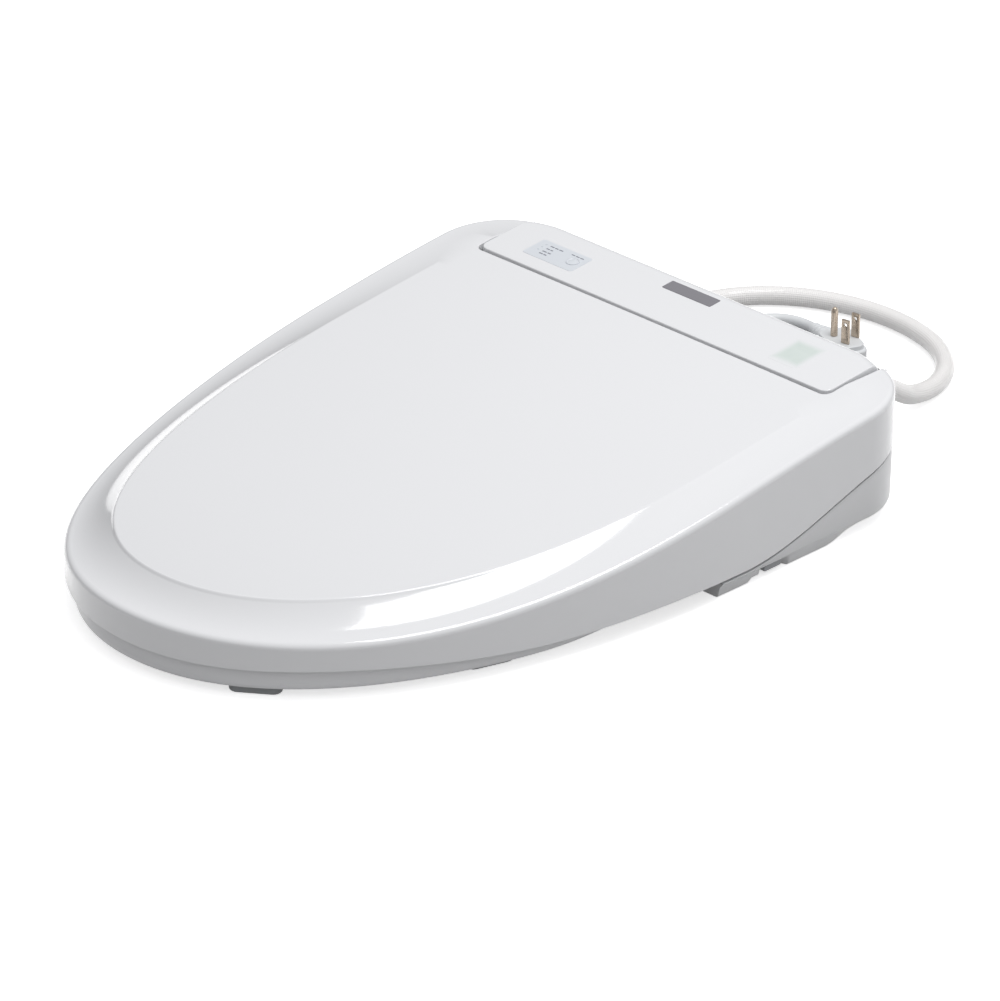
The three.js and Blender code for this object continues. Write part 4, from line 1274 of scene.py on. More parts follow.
# ---------- Base unit ----------
@dataclass
class Base:
    """The lower casing of the base unit: a flush wall, a bevelled lower edge and a floor."""

    shop: Workshop
    wall_inset: float = 0.0008
    bevel_run: float = 0.0130
    foot_run: float = 0.0030
    bevel_rise: float = 0.0100
    wall: float = 0.0025
    recess: tuple = (0.094, 0.126)

    def _stations(self) -> tuple[np.ndarray, np.ndarray]:
        """The outline from the right front corner round the rear to the left one."""
        points, normals = PLAN.half(120, 60, 24, 30)
        keep = points[:, 1] > PLAN.base_front
        first = np.array([[np.interp(PLAN.base_front, points[:120, 1], points[:120, 0]), PLAN.base_front]])
        points = np.vstack([first, points[keep]])
        normals = np.vstack([[[1.0, 0.0]], normals[keep]])
        mirror = np.array((-1.0, 1.0))
        return np.vstack([points, (points * mirror)[-2::-1]]), np.vstack([normals, (normals * mirror)[-2::-1]])

    def _tray(self) -> bpy.types.Object:
        """The casing's outer wall, bevel and underside as one shell.

        Returns:
            The object.
        """
        points, normals = self._stations()
        y = points[:, 1]
        top = PLAN.skirt(y) - 0.0018
        lift = 0.0024 * (smoothstep(y, self.recess[0], self.recess[0] + 0.003)
                         - smoothstep(y, self.recess[1], self.recess[1] + 0.002)) * (np.abs(points[:, 0]) > 0.15)
        front = y < PLAN.base_front + 1e-6
        knee = self.wall_inset + 0.0004
        rear = smoothstep(y, 0.165, 0.215)
        notch = smoothstep(y, 0.1035, 0.1055) - smoothstep(y, 0.1285, 0.1305)
        run = self.foot_run + (self.bevel_run - self.foot_run) * np.maximum(rear, 0.75 * notch)
        rows: list[tuple[float, np.ndarray]] = [
            (self.wall + self.wall_inset, np.full_like(y, 0.012)),
            (self.wall + self.wall_inset, top - 0.0004), (self.wall + self.wall_inset - 0.0004, top),
            (self.wall_inset + 0.0007, top), (self.wall_inset + 0.0002, top - 0.0002),
            (self.wall_inset, top - 0.0007), (self.wall_inset + 0.0001, top * 0.5 + 0.0055),
        ]
        for angle in np.linspace(0.0, 0.9, 6):
            share = angle / 0.9
            rows.append((knee + 0.0022 * share**2 * 0.9, self.bevel_rise + 0.0012 - 0.0030 * share + lift * 0))
        deep = knee + 0.0020
        rows += [(deep + (run - 0.0008) * 0.4, self.bevel_rise * 0.5 + lift * 0.5), (deep + run - 0.0014, 0.0012 + lift),
                 (deep + run - 0.0006, 0.0003 + lift), (deep + run + 0.0006, lift), (deep + run + 0.012, lift)]
        rings = []
        for inset, height in rows:
            flat = points - normals * np.broadcast_to(inset, y.shape)[:, None]
            flat[front, 1] = PLAN.base_front
            rings.append(np.column_stack([flat, np.broadcast_to(height, y.shape)]))
        pts, faces = skin(rings, round_ring=False)
        count = len(points)
        last = (len(rings) - 1) * count
        faces.append(tuple(last + i for i in range(count)))
        left = [r * count + count - 1 for r in range(len(rings))]
        right = [r * count for r in range(len(rings))]
        faces.append(tuple(right[4:] + left[:3:-1]))
        return make_mesh("base_casing", pts, faces, sharp=38)

    def build(self) -> None:
        """Makes the casing, the release button and the cartridge's cover."""
        self.shop.dress(self._tray(), "base", "satin_white", "base_tray")
        low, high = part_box("release_button")
        centre = ((low.x + high.x) / 2, (low.y + high.y) / 2, (low.z + high.z) / 2)
        place = basis(centre, (1, 0, 0), (0, 1, 0))
        loop = rounded_loop(high.y - low.y, high.z - low.z, 0.0014)
        button = slab("release_knob", loop, -(high.x - low.x) / 2, (high.x - low.x) / 2, place, 0.0007)
        self.shop.dress(button, "release", "grey_plastic", "release_button")
        low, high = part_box("deodoriser_cartridge")
        centre = ((low.x + high.x) / 2, (low.y + high.y) / 2, (low.z + high.z) / 2)
        place = basis(centre, (-1, 0, 0), (0, 1, 0))
        loop = rounded_loop(high.y - low.y, high.z - low.z, 0.0012)
        half = (high.x - low.x) / 2
        drawer = slab("scent_drawer", loop, -half, half, place, 0.0006)
        grips = [slab("grip", rounded_loop(0.0012, 0.006, 0.0005), half - 0.0008, half + 0.001,
                      place @ basis((offset, 0, 0), UP), 0) for offset in (-0.006, -0.003, 0.0, 0.003, 0.006)]
        self.shop.dress(cut_away(drawer, grips), "cartridge", "satin_white", "deodoriser_cartridge")


@dataclass
class Bridge:
    """The cover across the rear and over the base, with its panel, badge and window."""

    shop: Workshop
    half_width: float = 0.1593
    front: float = 0.2014
    rear: float = 0.2589
    front_z: float = 0.0881
    slope: float = 0.0909
    corner: float = 0.0065
    rear_corner: float = 0.066
    edge_radius: float = 0.0009
    rear_radius: float = 0.0085
    lip_z: float = 0.0492

    def top_z(self, y: float) -> float:
        """The bridge's top over y, before its rims are rounded."""
        return self.front_z + self.slope * (y - self.front)

    def _level(self, where: np.ndarray, gaps: list[np.ndarray]) -> np.ndarray:
        """The sloping top."""
        return self.front_z + self.slope * (where[:, 1] - self.front)

    def _cover(self) -> bpy.types.Object:
        """The bridge's shell.

        Returns:
            The object.
        """
        x, f, b, r = self.half_width, self.front, self.rear, self.corner
        reach = self.rear_corner - PLAN.rear + b
        middle = np.array((PLAN.half_width - self.rear_corner, PLAN.rear - self.rear_corner))
        angles = np.linspace(math.acos((x - middle[0]) / reach), math.pi / 2, 24)
        arc = np.stack([np.cos(angles), np.sin(angles)], 1)
        curve = arc * reach + middle
        mid = np.linspace(curve[-1, 0], 0, 30)[1:]
        curve = np.vstack([curve, np.stack([mid, np.full(29, b)], 1)])
        out = np.vstack([arc, np.tile((0.0, 1.0), (29, 1))])
        flip = np.array((-1.0, 1.0))
        rear_line = np.vstack([curve, (curve * flip)[-2::-1]])
        rear_way = -np.vstack([out, (out * flip)[-2::-1]])
        left = [(-x, v) for v in np.linspace(curve[0, 1], f + r, 14)]
        left += [(-x + r - r * math.cos(a), f + r - r * math.sin(a)) for a in np.linspace(0, math.pi / 2, 9)[1:]]
        way = [(1.0, 0.0)] * 14 + [(math.cos(a), math.sin(a)) for a in np.linspace(0, math.pi / 2, 9)[1:]]
        left += [(v, f) for v in np.linspace(-x + r, 0, 36)[1:]]
        way += [(0.0, 1.0)] * 35
        mirror = np.array((-1.0, 1.0))
        sides, ways = np.array(left), np.array(way)
        sides = np.vstack([sides, (sides * mirror)[-2::-1]])
        ways = np.vstack([ways, (ways * mirror)[-2::-1]])
        big = [i * self.rear_radius for i in (0.01, 0.04, 0.09, 0.16, 0.25, 0.35, 0.47, 0.6, 0.75, 0.9, 1.0, 1.15)]
        small = [i * self.edge_radius for i in (0.05, 0.2, 0.45, 0.75, 1.0, 2.5)]
        edges = [Edge(rear_line, rear_way, self.rear_radius, big),
                 Edge(sides, ways, self.edge_radius, small)]
        foot = lambda where: np.where(where[:, 1] > curve[0, 1] - 0.002, self.lip_z, 0.040)
        return Shell("bridge_cover", edges, self._level, foot, wall=0.0025, grid=0.007).build()

    def _deck(self) -> bpy.types.Object:
        """The deck under the seat's rear, with its front wall.

        Returns:
            The object.
        """
        inset, y0 = 0.006, PLAN.base_front + 0.0025
        points, normals = PLAN.whole(80, 30, 20, 30)
        flat = points - normals * inset
        keep = flat[:, 1] > y0
        right = flat[keep & (flat[:, 0] > 1e-9)]
        right_n = normals[keep & (flat[:, 0] > 1e-9)]
        start = np.array([[float(right[0, 0]), y0]])
        right, right_n = np.vstack([start, right]), np.vstack([[[1.0, 0.0]], right_n])
        end = right[:, 1] < PLAN.seam + 0.030
        mirror = np.array((-1.0, 1.0))
        side, side_n = right[end], right_n[end]
        back = np.array([(v, side[-1, 1]) for v in np.linspace(side[-1, 0], -side[-1, 0], 40)])
        front = np.array([(v, y0) for v in np.linspace(-side[0, 0], side[0, 0], 60)])
        rim = [i * 0.002 for i in (0.05, 0.2, 0.45, 0.75, 1.0, 2.0)]
        edges = [
            Edge(front, np.tile((0.0, 1.0), (60, 1)), 0.002, rim),
            Edge(side, -side_n, 0.002, rim),
            Edge(back, np.tile((0.0, -1.0), (40, 1)), 0.0005, []),
            Edge((side * mirror)[::-1], -(side_n * mirror)[::-1], 0.002, rim),
        ]
        level = lambda where, gaps: 0.028 + 0.010 * np.clip((where[:, 1] - y0) / (PLAN.seam - y0), 0, 1.2)
        return Shell("deck_cover", edges, level, lambda where: np.full(len(where), 0.012), grid=0.012).build()

    def _on_top(self, x: float, y: float) -> np.ndarray:
        """The frame of a thing laid on the bridge at (x, y)."""
        return basis((x, y, self.top_z(y)), (0.0, -self.slope, 1.0))

    def build(self) -> None:
        """Makes the cover, the deck, the panel with its marks, the badge and the window."""
        cover = self._cover()
        deck = self._deck()
        hole = lathe("bore", [(0, -0.02), (0.0062, -0.02), (0.0062, 0.02), (0, 0.02)],
                     basis((0, PLAN.base_front + 0.004, 0.0187), (0, 1, 0.0611)))
        cut_away(deck, [hole])
        self.shop.dress(cover, "base", "gloss_white", "top_cover")
        self.shop.dress(deck, "base", "gloss_white")
        self._panel()
        badge = slab("badge_blank", rounded_loop(0.044, 0.011, 0.0009), -0.001, 0.0004, self._on_top(0, 0.2422), 0.0003)
        self.shop.dress(badge, "base", "badge_grey", "badge_plate")
        self._window()

    def _panel(self) -> None:
        """The status panel: a film, dashes for its lines, lamps, and a ring button."""
        x, y = -0.1075, 0.2245
        place = self._on_top(x, y)
        film = slab("panel_film", rounded_loop(0.046, 0.022, 0.002), -0.001, 0.0002, place, 0.0001)
        self.shop.dress(film, "base", "label_grey", "indicator_panel")
        marks = []
        for row, (offset, lengths) in enumerate(((0.0062, (0.0035, 0.0030, 0.0036)), (0.0022, (0.0030, 0.0022)),
                                                 (-0.0018, (0.0040, 0.0030)), (-0.0050, (0.0034, 0.0026)))):
            along = -0.0125
            for length in lengths:
                spot = place @ basis((along + length / 2, offset, 0), UP)
                marks.append(slab("dash", rounded_loop(length, 0.0010, 0.0002, 2), 0.00015, 0.00026, spot, 0))
                along += length + 0.0008
        for along in (0.0085, 0.0125, 0.0165):
            spot = place @ basis((along, 0.0068, 0), UP)
            marks.append(slab("dash", rounded_loop(0.0032, 0.0009, 0.0002, 2), 0.00015, 0.00026, spot, 0))
        self.shop.dress(merge("panel_print", marks), "base", "label_grey", finish=PRINT_INK)
        lamps = [slab("lamp", rounded_loop(0.0016, 0.0010, 0.00045, 4), 0.0001, 0.0004,
                      place @ basis((-0.0165, offset, 0), UP), 0.0001) for offset in (0.0062, 0.0022, -0.0018)]
        self.shop.dress(merge("panel_lamps", lamps), "base", "label_grey", finish=LAMP_GREEN)
        spot = self._on_top(-0.093, y)
        r = 0.00485
        ring = [(0, -0.004), (r, -0.004), (r, 0.0004), (r * 0.97, 0.00065), (r * 0.9, 0.00075), (r * 0.82, 0.0007),
                (r * 0.76, 0.0004), (r * 0.70, 0.0003), (r * 0.6, 0.00045), (r * 0.3, 0.00055), (0, 0.0006)]
        self.shop.dress(lathe("clean_knob", ring, spot, 64), "button", "label_grey", "clean_button")

    def _window(self) -> None:
        """The receiver's window, whose tint fades into the cover at its edges."""
        loop = rounded_loop(0.028, 0.033, 0.005)
        pane = slab("receiver_window", loop, -0.001, 0.00006, self._on_top(0.110, 0.2275), 0.00005)
        graph = Graph("window_tint")
        across = (graph.axis("X") - 0.110) / 0.014
        along = (graph.axis("Y") - 0.2275) / 0.0165
        across = graph.value("ShaderNodeMath", {"operation": "ABSOLUTE"}, {0: across})
        along = graph.value("ShaderNodeMath", {"operation": "ABSOLUTE"}, {0: along})
        reach = graph.value("ShaderNodeMath", {"operation": "MAXIMUM"}, {0: across, 1: along})
        fade = graph.step(reach, 0.52, 0.98)
        mottle = graph.noise(120.0, 2.0)
        tint = graph.blend(mottle, (0.60, 0.67, 0.64, 1), (0.66, 0.72, 0.69, 1))
        white = FINISHES["gloss_white"].colour + (1.0,)
        self.shop.materials["window_tint"] = graph.surface({
            "Base Color": graph.blend(fade, tint, white), "Roughness": 0.12 + mottle * 0.04, "Coat Weight": 0.25})
        self.shop.dress(pane, "base", "window_tint", "ir_window")


# ---------- Wand and dryer ----------
@dataclass
class WashAndDry:
    """What the user meets under the seat: the wand's tip and shield, and the dryer's flap."""

    shop: Workshop
    radius: float = 0.0055
    start: tuple = (0.0, 0.0705, 0.0187)
    run: tuple = (0.0, 0.998135, 0.061049)

    def _at(self, distance: float) -> tuple:
        """A point along the wand, from its tip."""
        return tuple(s + r * distance for s, r in zip(self.start, self.run))

    def build(self) -> None:
        """Makes the wand, its tip with two jets, its shield and the dryer's flap."""
        r = self.radius
        tube_profile = [(0, 0.0123), (r * 0.9, 0.0123), (r, 0.0129), (r, 0.050), (r * 0.97, 0.0505), (r * 0.97, 0.0520),
                        (r, 0.0525), (r, 0.1614), (r * 0.9, 0.162), (0, 0.162)]
        place = basis(self.start, self.run)
        self.shop.dress(lathe("wand_stem", tube_profile, place), "wand", "satin_white", "wand_tube")
        tip_profile = [(0, 0.0005), (r * 0.72, 0.0005), (r * 0.93, 0.0013), (r, 0.0028), (r, 0.0102),
                       (r * 0.95, 0.0106), (r * 0.95, 0.0112), (r * 0.98, 0.0117), (r * 0.9, 0.012), (0, 0.012)]
        tip = lathe("wand_nose", tip_profile, place, 64)
        jets = [lathe("jet", [(0, 0), (0.0007, 0), (0.0007, 0.01), (0, 0.01)],
                      basis(np.array(self._at(d)) + (x, 0, 0.002), UP), 16)
                for d in (0.0032, 0.0064) for x in (-0.0016, 0.0, 0.0016)]
        self.shop.dress(cut_away(tip, jets), "wand", "satin_white", "wand_tip")
        low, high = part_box("wand_shield")
        plate_place = basis(((low.x + high.x) / 2, high.y - 0.0022, (low.z + high.z) / 2), (0, -1, 0), (1, 0, 0))
        loop = rounded_loop(high.x - low.x, high.z - low.z, 0.0035)
        plate = slab("wand_guard", loop, 0.0022 - (high.y - low.y) + 0.0008, (high.y - low.y) - 0.0022, plate_place, 0.0006)
        self.shop.dress(plate, "wand", "satin_white", "wand_shield")
        low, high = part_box("dryer_flap")
        place = basis(((low.x + high.x) / 2, (low.y + high.y) / 2, (low.z + high.z) / 2), (0, -1, 0), (1, 0, 0))
        half = (high.y - low.y) / 2
        flap = slab("warm_air_flap", rounded_loop(high.x - low.x, high.z - low.z, 0.0016), -half, half, place, 0.0004)
        slots = [slab("slot", rounded_loop(0.026, 0.0009, 0.0004), half - 0.0006, half + 0.001,
                      place @ basis((0, offset, 0), UP), 0) for offset in (-0.0030, -0.0010, 0.0010, 0.0030)]
        self.shop.dress(cut_away(flap, slots), "flap", "satin_white", "dryer_flap")


# ---------- Rear fittings, hose and cord ----------
@dataclass
class RearFittings:
    """The filter cap with its bright ring, the inlet and the nuts of the hose."""

    shop: Workshop

    def build(self) -> list[bpy.types.Object]:
        """Makes the fittings.

        Returns:
            The hose's two nuts.
        """
        cap = basis((0.141, 0.2595, 0.066), (0, 1, 0))
        r = 0.012
        profile = [(0, -0.0065), (0.007, -0.0065), (0.007, 0.001), (r * 0.97, 0.001), (r, 0.002), (r, 0.0085),
                   (r * 0.95, 0.0102), (r * 0.86, 0.0108), (r * 0.4, 0.011), (0, 0.011)]
        knob = lathe("filter_knob", profile, cap, 96, lambda a: 1 + 0.012 * (math.cos(24 * a) > 0))
        grips = [slab("grip", rounded_loop(0.019, 0.0085, 0.003), 0.0082, 0.013,
                      cap @ basis((0, side * 0.0066, 0), UP), 0.0) for side in (-1, 1)]
        self.shop.dress(cut_away(knob, grips), "filter", "dark_plastic", "filter_cap")
        ring = [(0.0123, 0.0), (0.0136, -0.0003), (0.014, 0.0004), (0.014, 0.0056), (0.0136, 0.0066),
                (0.0129, 0.007), (0.0124, 0.0066)]
        angles = np.linspace(0, 2 * math.pi, 72, endpoint=False)
        rings = [moved(np.stack([q * np.cos(angles), q * np.sin(angles), np.full(72, h)], 1), cap) for q, h in ring]
        points, faces = skin(rings, round_loft=True)
        self.shop.dress(make_mesh("filter_bezel", points, faces, sharp=50), "base", "chrome", "filter_ring")
        inlet = basis((0.105, 0.2478, 0.042), (0, 1, 0))
        spout = [(0.004, 0.0075), (0.004, 0.0222), (0.0045, 0.0227), (0.0076, 0.0227), (0.008, 0.0223), (0.008, 0.0205),
                 (0.0074, 0.0200), (0.0074, 0.0192), (0.008, 0.0187), (0.008, 0.0), (0.0035, 0.0), (0.0035, 0.0075)]
        rings = [moved(np.stack([q * np.cos(angles), q * np.sin(angles), np.full(72, h)], 1), inlet) for q, h in spout]
        points, faces = skin(rings[::-1], round_loft=True)
        self.shop.dress(make_mesh("inlet_spout", points, faces, sharp=40), "base", "satin_white", "inlet_fitting")
        near = self._nut("inlet_coupling", "inlet_nut", "satin_white", 6)
        far = self._nut("supply_coupling", "far_nut", "chrome", 6)
        return [near, far]

    def _nut(self, name: str, node: str, slot: str, flats: int) -> bpy.types.Object:
        """A union nut: a hexagon with chamfered rims and a round collar.

        Args:
            name: The piece's name.
            node: The node that it stands for.
            slot: Its material slot.
            flats: How many flats it has.

        Returns:
            The nut.
        """
        low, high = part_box(node)
        r, length = (high.z - low.z) / 2, high.y - low.y
        place = basis(((low.x + high.x) / 2, low.y, (low.z + high.z) / 2), (0, 1, 0))
        def wave(angle: float) -> float:
            """The hexagon's reach over its corner radius."""
            part = (angle + math.pi / flats) % (2 * math.pi / flats) - math.pi / flats
            return min(1.0, 0.93 / max(math.cos(part), 1e-6) * math.cos(math.pi / flats) * 1.06)
        profile = [(0, 0), (r * 0.86, 0), (r * 0.97, length * 0.06), (r, length * 0.12), (r, length * 0.62),
                   (r * 0.96, length * 0.68), (r * 0.84, length * 0.70), (r * 0.82, length * 0.96), (r * 0.78, length), (0, length)]
        return self.shop.dress(lathe(name, profile, place, 72, wave), "base", slot, node)


@dataclass
class Hose:
    """The braided supply hose, from the inlet round behind the unit to its far nut."""

    shop: Workshop
    radius: float = 0.00675
    floor: float = 7.15

    def route(self) -> list[tuple[float, float, float]]:
        """The points that the hose passes, in metres."""
        low = self.floor
        points = [
            (105, 286.1, 42), (105, 300.1, 41.4), (104, 316.1, 36), (102, 334.1, 25), (99, 352.1, 14.5),
            (96, 370.1, 9.35), (92, 388, low), (83, 407, low), (68, 423, low), (49, 435, low), (28, 442, low),
            (6, 445, low), (-17, 444, low), (-39, 439, low), (-60, 430, low), (-79, 417, low), (-95, 400, low),
            (-106, 380, low), (-112, 358, 7.55), (-114, 336, 8.75), (-114, 318, 9.8), (-114, 304, 9.8),
        ]
        return [tuple(v * MM for v in point) for point in points]

    def build(self, nuts: Sequence[bpy.types.Object]) -> None:
        """Makes the hose.

        Args:
            nuts: Its two nuts; not used.
        """
        path = smooth_path(self.route(), 0.003)
        hose = tube("braided_line", path, self.radius, 28, (340.0, 14.0))
        self.shop.dress(hose, "base", "braided_hose", "supply_hose")
        start = self.route()[0]
        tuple(start)
        2 * self.radius


@dataclass
class PowerCord:
    """The mains cord: out of its strain relief, down, round in a coil, and up to the plug."""

    shop: Workshop
    radius: float = 0.0037
    centre: tuple = (-0.005, 0.348)
    mean: float = 0.038
    turn: float = -0.42
    plug: tuple = (0.035, 0.355, 0.0161)

    def _lead(self) -> list[tuple[float, float, float]]:
        """The stretch from the strain relief to the coil."""
        points = [(-85, 293.8, 36), (-85, 305.8, 35.2), (-85, 319.8, 29), (-84, 333.8, 18), (-81, 347.8, 8.5),
                  (-74, 361.8, 4.4), (-66, 375, 4.0), (-56, 383.5, 4.0), (-44, 388.5, 4.2), (-28, 389.9, 4.6)]
        return [tuple(v * MM for v in point) for point in points]

    def _coil(self) -> list[tuple[float, float, float]]:
        """Two turns below and two above, wound clockwise, ending on top at the left."""
        outer, inner = self.mean + 0.0037, self.mean - 0.0037
        low, high, top = 0.0047, 0.0121, 0.0198
        slots = [(outer, low), (inner, low), (inner, high), (outer, high)]
        points = []
        for degrees in range(15, 3 * 360 + 290, 15):
            lap, part = divmod(degrees, 360)
            share = float(smoothstep(part, 270, 360)) if lap < 3 else 0.0
            r, z = slots[lap]
            if lap < 3:
                r += share * (slots[lap + 1][0] - r)
                z += share * (slots[lap + 1][1] - z)
            if lap == 1:
                r -= 0.003 * math.sin(math.pi * share)
            if lap == 3:
                z += (top - high) * float(smoothstep(part, 205, 285))
            angle = math.radians(110 - degrees)
            points.append((self.centre[0] + r * math.cos(angle), self.centre[1] + r * math.sin(angle), z))
        return points

    def _tail(self) -> list[tuple[float, float, float]]:
        """The last bend, over the coil and into the plug's neck."""
        x, y, z = self.plug
        c, s = math.cos(self.turn), math.sin(self.turn)
        bend = 0.0296
        middle = (self.centre[0] - self.mean - self.radius + bend, self.centre[1] - 0.0018)
        points = [(middle[0] + bend * math.cos(a), middle[1] + bend * math.sin(a), 0.0198)
                  for a in np.radians((165, 145, 125, 105, 86))]
        end = 0.0443
        return points + [(x - end * c, y - end * s, z + 0.005)]

    def build(self) -> None:
        """Makes the strain relief, the cord, and the plug with its contacts."""
        relief = self._relief()
        pieces = [relief, *Plug(self.shop, self.plug, self.turn).build()]
        path = smooth_path(self._lead() + self._coil() + self._tail(), 0.003)
        cord = tube("mains_lead", path, self.radius, 16, (100.0, 4.0))
        self.shop.dress(cord, "base", "cord_white", "power_cord", "cord_coil", "cord_tail")
        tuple(self._lead()[0])
        2 * self.radius

    def _relief(self) -> bpy.types.Object:
        """The tapered, ribbed sleeve where the cord leaves the unit.

        Returns:
            The object.
        """
        place = basis((-0.085, 0.2515, 0.036), (0, 1, 0))
        profile = [(0, 0), (0.006, 0), (0.006, 0.0078), (0.0072, 0.0082), (0.0072, 0.0098)]
        start, end, ribs = 0.0105, 0.0415, 8
        for rib in range(ribs):
            y0 = start + (end - start) * rib / ribs
            pitch = (end - start) / ribs
            r = 0.0064 - 0.0017 * rib / ribs
            profile += [(r - 0.0007, y0), (r, y0 + pitch * 0.18), (r, y0 + pitch * 0.62), (r - 0.0007, y0 + pitch * 0.8)]
        profile += [(0.0045, end), (0.0042, 0.042), (0, 0.042)]
        return self.shop.dress(lathe("cord_sleeve", profile, place, 40), "base", "cord_white", "strain_relief")


@dataclass
class Plug:
    """The three-pin plug that lies on the coil with its pins up."""

    shop: Workshop
    spot: tuple
    turn: float
    askew: float = 34.0

    def build(self) -> list[bpy.types.Object]:
        """Makes the plug.

        Returns:
            Its pieces.
        """
        side = (math.cos(self.turn), math.sin(self.turn), 0.0)
        place = basis(self.spot, UP, side)
        body = slab("plug_block", rounded_loop(0.037, 0.027, 0.0075, 10), 0.0, 0.0145, place, 0.0016, 0.0030, 6)
        face = slab("plug_face", rounded_loop(0.0325, 0.0235, 0.0065, 10), 0.0140, 0.018, place, 0.0009)
        neck_place = place @ basis((-0.0165, 0, 0.0072), (-1, 0, -0.0769), (0, 1, 0))
        profile = [(0, 0), (0.0064, 0), (0.0063, 0.003)]
        for rib in range(5):
            y0, r = 0.0045 + rib * 0.0042, 0.0061 - rib * 0.00028
            profile += [(r, y0), (r, y0 + 0.0022), (r - 0.0008, y0 + 0.0027), (r - 0.0008, y0 + 0.0037)]
        profile += [(0.0047, 0.0262), (0.0046, 0.0274), (0, 0.0274)]
        neck = lathe("plug_neck", profile, neck_place, 40)
        body = merge("plug_shell", [body, face, neck])
        pieces = [self.shop.dress(body, "base", "cord_white", "plug_body")]
        turn = math.radians(self.askew)
        front = place @ basis((0, 0, 0.0183), UP, (math.cos(turn), math.sin(turn), 0))
        for name, y in (("left", -0.00635), ("right", 0.00635)):
            blade_place = front @ basis((0.007, y, 0), (0, 0, 1), (1, 0, 0))
            blade = slab(f"contact_{name}", rounded_loop(0.0064, 0.0016, 0.0005, 3), 0, 0.0175, blade_place, 0.0006)
            hole = lathe("hole", [(0, -0.003), (0.0014, -0.003), (0.0014, 0.003), (0, 0.003)],
                         blade_place @ basis((0, 0, 0.0135), (0, 1, 0)), 24)
            cut_away(blade, [hole])
            pieces.append(self.shop.dress(blade, "base", "contact_metal", f"plug_blade_{name}"))
        pin_place = front @ basis((-0.006, 0, 0), UP)
        profile = [(0, 0), (0.0024, 0), (0.0024, 0.0175), (0.0022, 0.0188), (0.0017, 0.0200), (0.0009, 0.0208), (0, 0.021)]
        pieces.append(self.shop.dress(lathe("earth_contact", profile, pin_place, 32), "base", "contact_metal", "plug_ground_pin"))
        return pieces


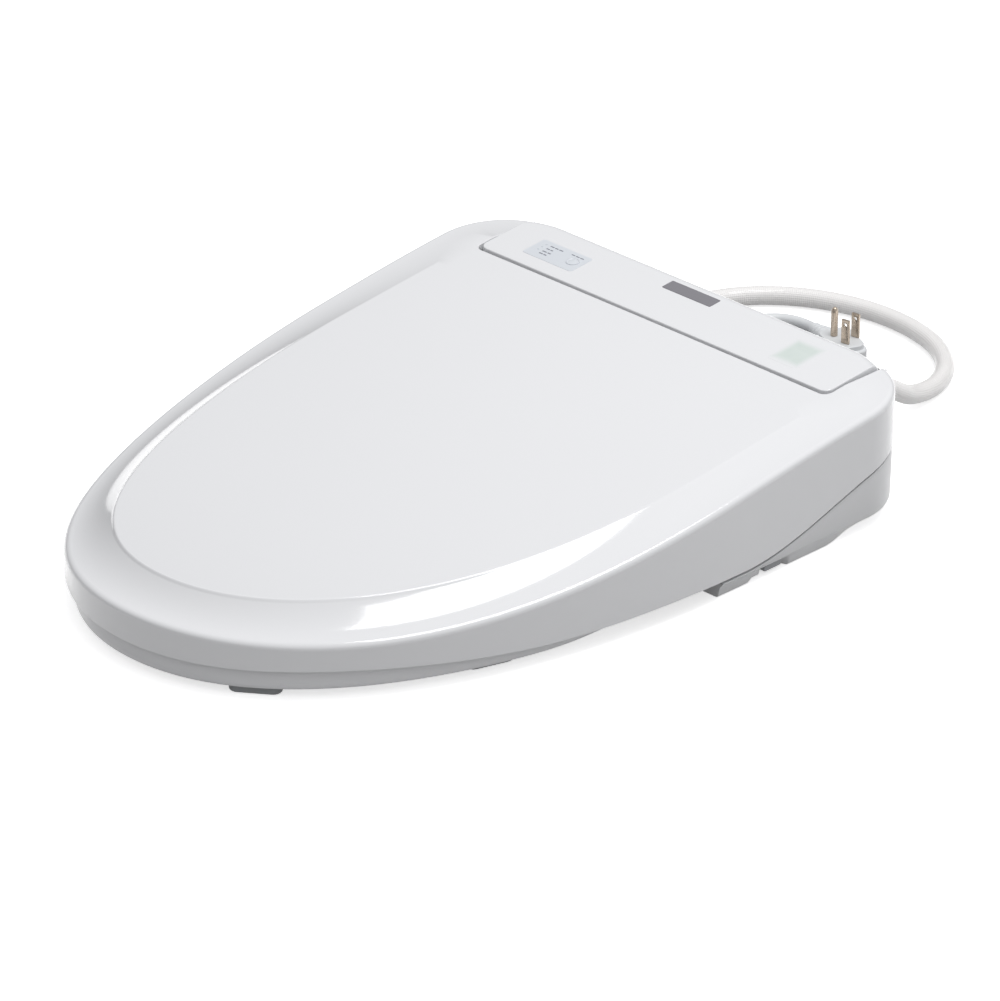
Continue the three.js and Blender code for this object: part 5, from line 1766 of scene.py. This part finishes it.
# ---------- Stage ----------
@dataclass
class Stage:
    """The camera, the floor and the lights."""

    azimuth: float = 44.73
    elevation: float = 26.82
    distance: float = 4.209
    target: tuple = (0.0822, -0.0204, 0.060)
    roll: float = 0.44
    lens: float = 238.1

    def camera(self) -> None:
        """Makes the camera."""
        a, e, r = (math.radians(v) for v in (self.azimuth, self.elevation, self.roll))
        back = Vector((math.sin(a) * math.cos(e), -math.cos(a) * math.cos(e), math.sin(e)))
        right = Vector((math.cos(a), math.sin(a), 0.0))
        up = back.cross(right)
        turned = right * math.cos(r) + up * math.sin(r)
        data = bpy.data.cameras.new("camera")
        data.lens, data.sensor_width, data.clip_end = self.lens, 36.0, 100.0
        camera = bpy.data.objects.new("camera", data)
        bpy.context.scene.collection.objects.link(camera)
        matrix = Matrix((turned, back.cross(turned), back)).transposed().to_4x4()
        matrix.translation = Vector(self.target) + back * self.distance
        camera.matrix_world = matrix
        bpy.context.scene.camera = camera

    def floor(self) -> None:
        """Makes a pale floor, and under it the grey ground that the sides see."""
        pale = self._disc("floor", -0.0002, (0.93, 0.95), 0.62)
        pale.visible_diffuse = False
        ground = self._disc("ground", -0.001, (0.42, 0.46), 0.0)
        ground.visible_camera = ground.visible_glossy = False

    def _disc(self, name: str, height: float, tones: tuple[float, float], glow: float) -> bpy.types.Object:
        """A very large disc.

        Args:
            name: Its name.
            height: Its height.
            tones: The darkest and lightest grey of its mottle.
            glow: How much light it gives of its own.

        Returns:
            The disc.
        """
        angles = np.linspace(0, 2 * math.pi, 96, endpoint=False)
        ring = np.stack([30 * np.cos(angles), 30 * np.sin(angles), np.full(96, height)], 1)
        disc = make_mesh(name, *skin([ring], caps=(False, True)))
        graph = Graph(name + "_paper")
        tone = graph.blend(graph.noise(3.0, 2.0), (tones[0],) * 3 + (1,), (tones[1],) * 3 + (1,))
        disc.data.materials.append(graph.surface({
            "Base Color": tone, "Roughness": 0.9, "Specular IOR Level": 0.0,
            "Emission Color": (1.0, 1.0, 1.0, 1.0), "Emission Strength": glow}))
        return disc

    def _lamp(self, name: str, place: Sequence[float], aim: Sequence[float], size: tuple[float, float],
              power: float) -> None:
        """One soft light.

        Args:
            name: Its name.
            place: Where it stands.
            aim: What it looks at.
            size: Its two sides.
            power: Its power in watts.
        """
        data = bpy.data.lights.new(name, "AREA")
        data.shape, data.size, data.size_y, data.energy = "RECTANGLE", size[0], size[1], power
        lamp = bpy.data.objects.new(name, data)
        bpy.context.scene.collection.objects.link(lamp)
        lamp.location = place
        lamp.rotation_mode = "QUATERNION"
        lamp.rotation_quaternion = (Vector(aim) - Vector(place)).to_track_quat("-Z", "Y")

    def lights(self) -> None:
        """Makes the softbox and a sky that is darker towards the horizon."""
        self._lamp("softbox", (0.38, 0.36, 1.66), (0.14, -0.10, 0.05), (0.82, 0.68), 13.0)
        world = bpy.data.worlds.new("studio")
        bpy.context.scene.world = world
        world.use_nodes = True
        graph = Graph.__new__(Graph)
        graph.tree = world.node_tree
        height = graph.axis("Z", "Generated")
        sky = graph.value("ShaderNodeValToRGB", {"stops": [
            (0.0, (0.10, 0.10, 0.10, 1)), (0.30, (0.30, 0.30, 0.305, 1)), (0.62, (0.62, 0.62, 0.63, 1)),
            (1.0, (0.80, 0.80, 0.80, 1))]}, {0: height})
        side = graph.step(graph.axis("X", "Generated"), -0.1, 1.1) * 0.34
        lit = graph.value("ShaderNodeVectorMath", {"operation": "ADD"}, {0: sky, 1: side})
        tree = world.node_tree
        tree.links.new(lit.socket, tree.nodes["Background"].inputs[0])
        bpy.context.scene.view_settings.view_transform = "Standard"
        bpy.context.scene.view_settings.look = "None"


def main() -> None:
    """Builds every piece."""
    logging.basicConfig(level=logging.INFO, format="%(name)s: %(message)s")
    stage = Stage()
    stage.camera()
    shop = Workshop()
    nuts = RearFittings(shop).build()
    Hose(shop).build(nuts)
    PowerCord(shop).build()
    Lid(shop).build()
    Seat(shop).build()
    Base(shop).build()
    Bridge(shop).build()
    WashAndDry(shop).build()
    shop.dress_frame()
    stage.floor()
    stage.lights()


if __name__ == "__main__":
    main()
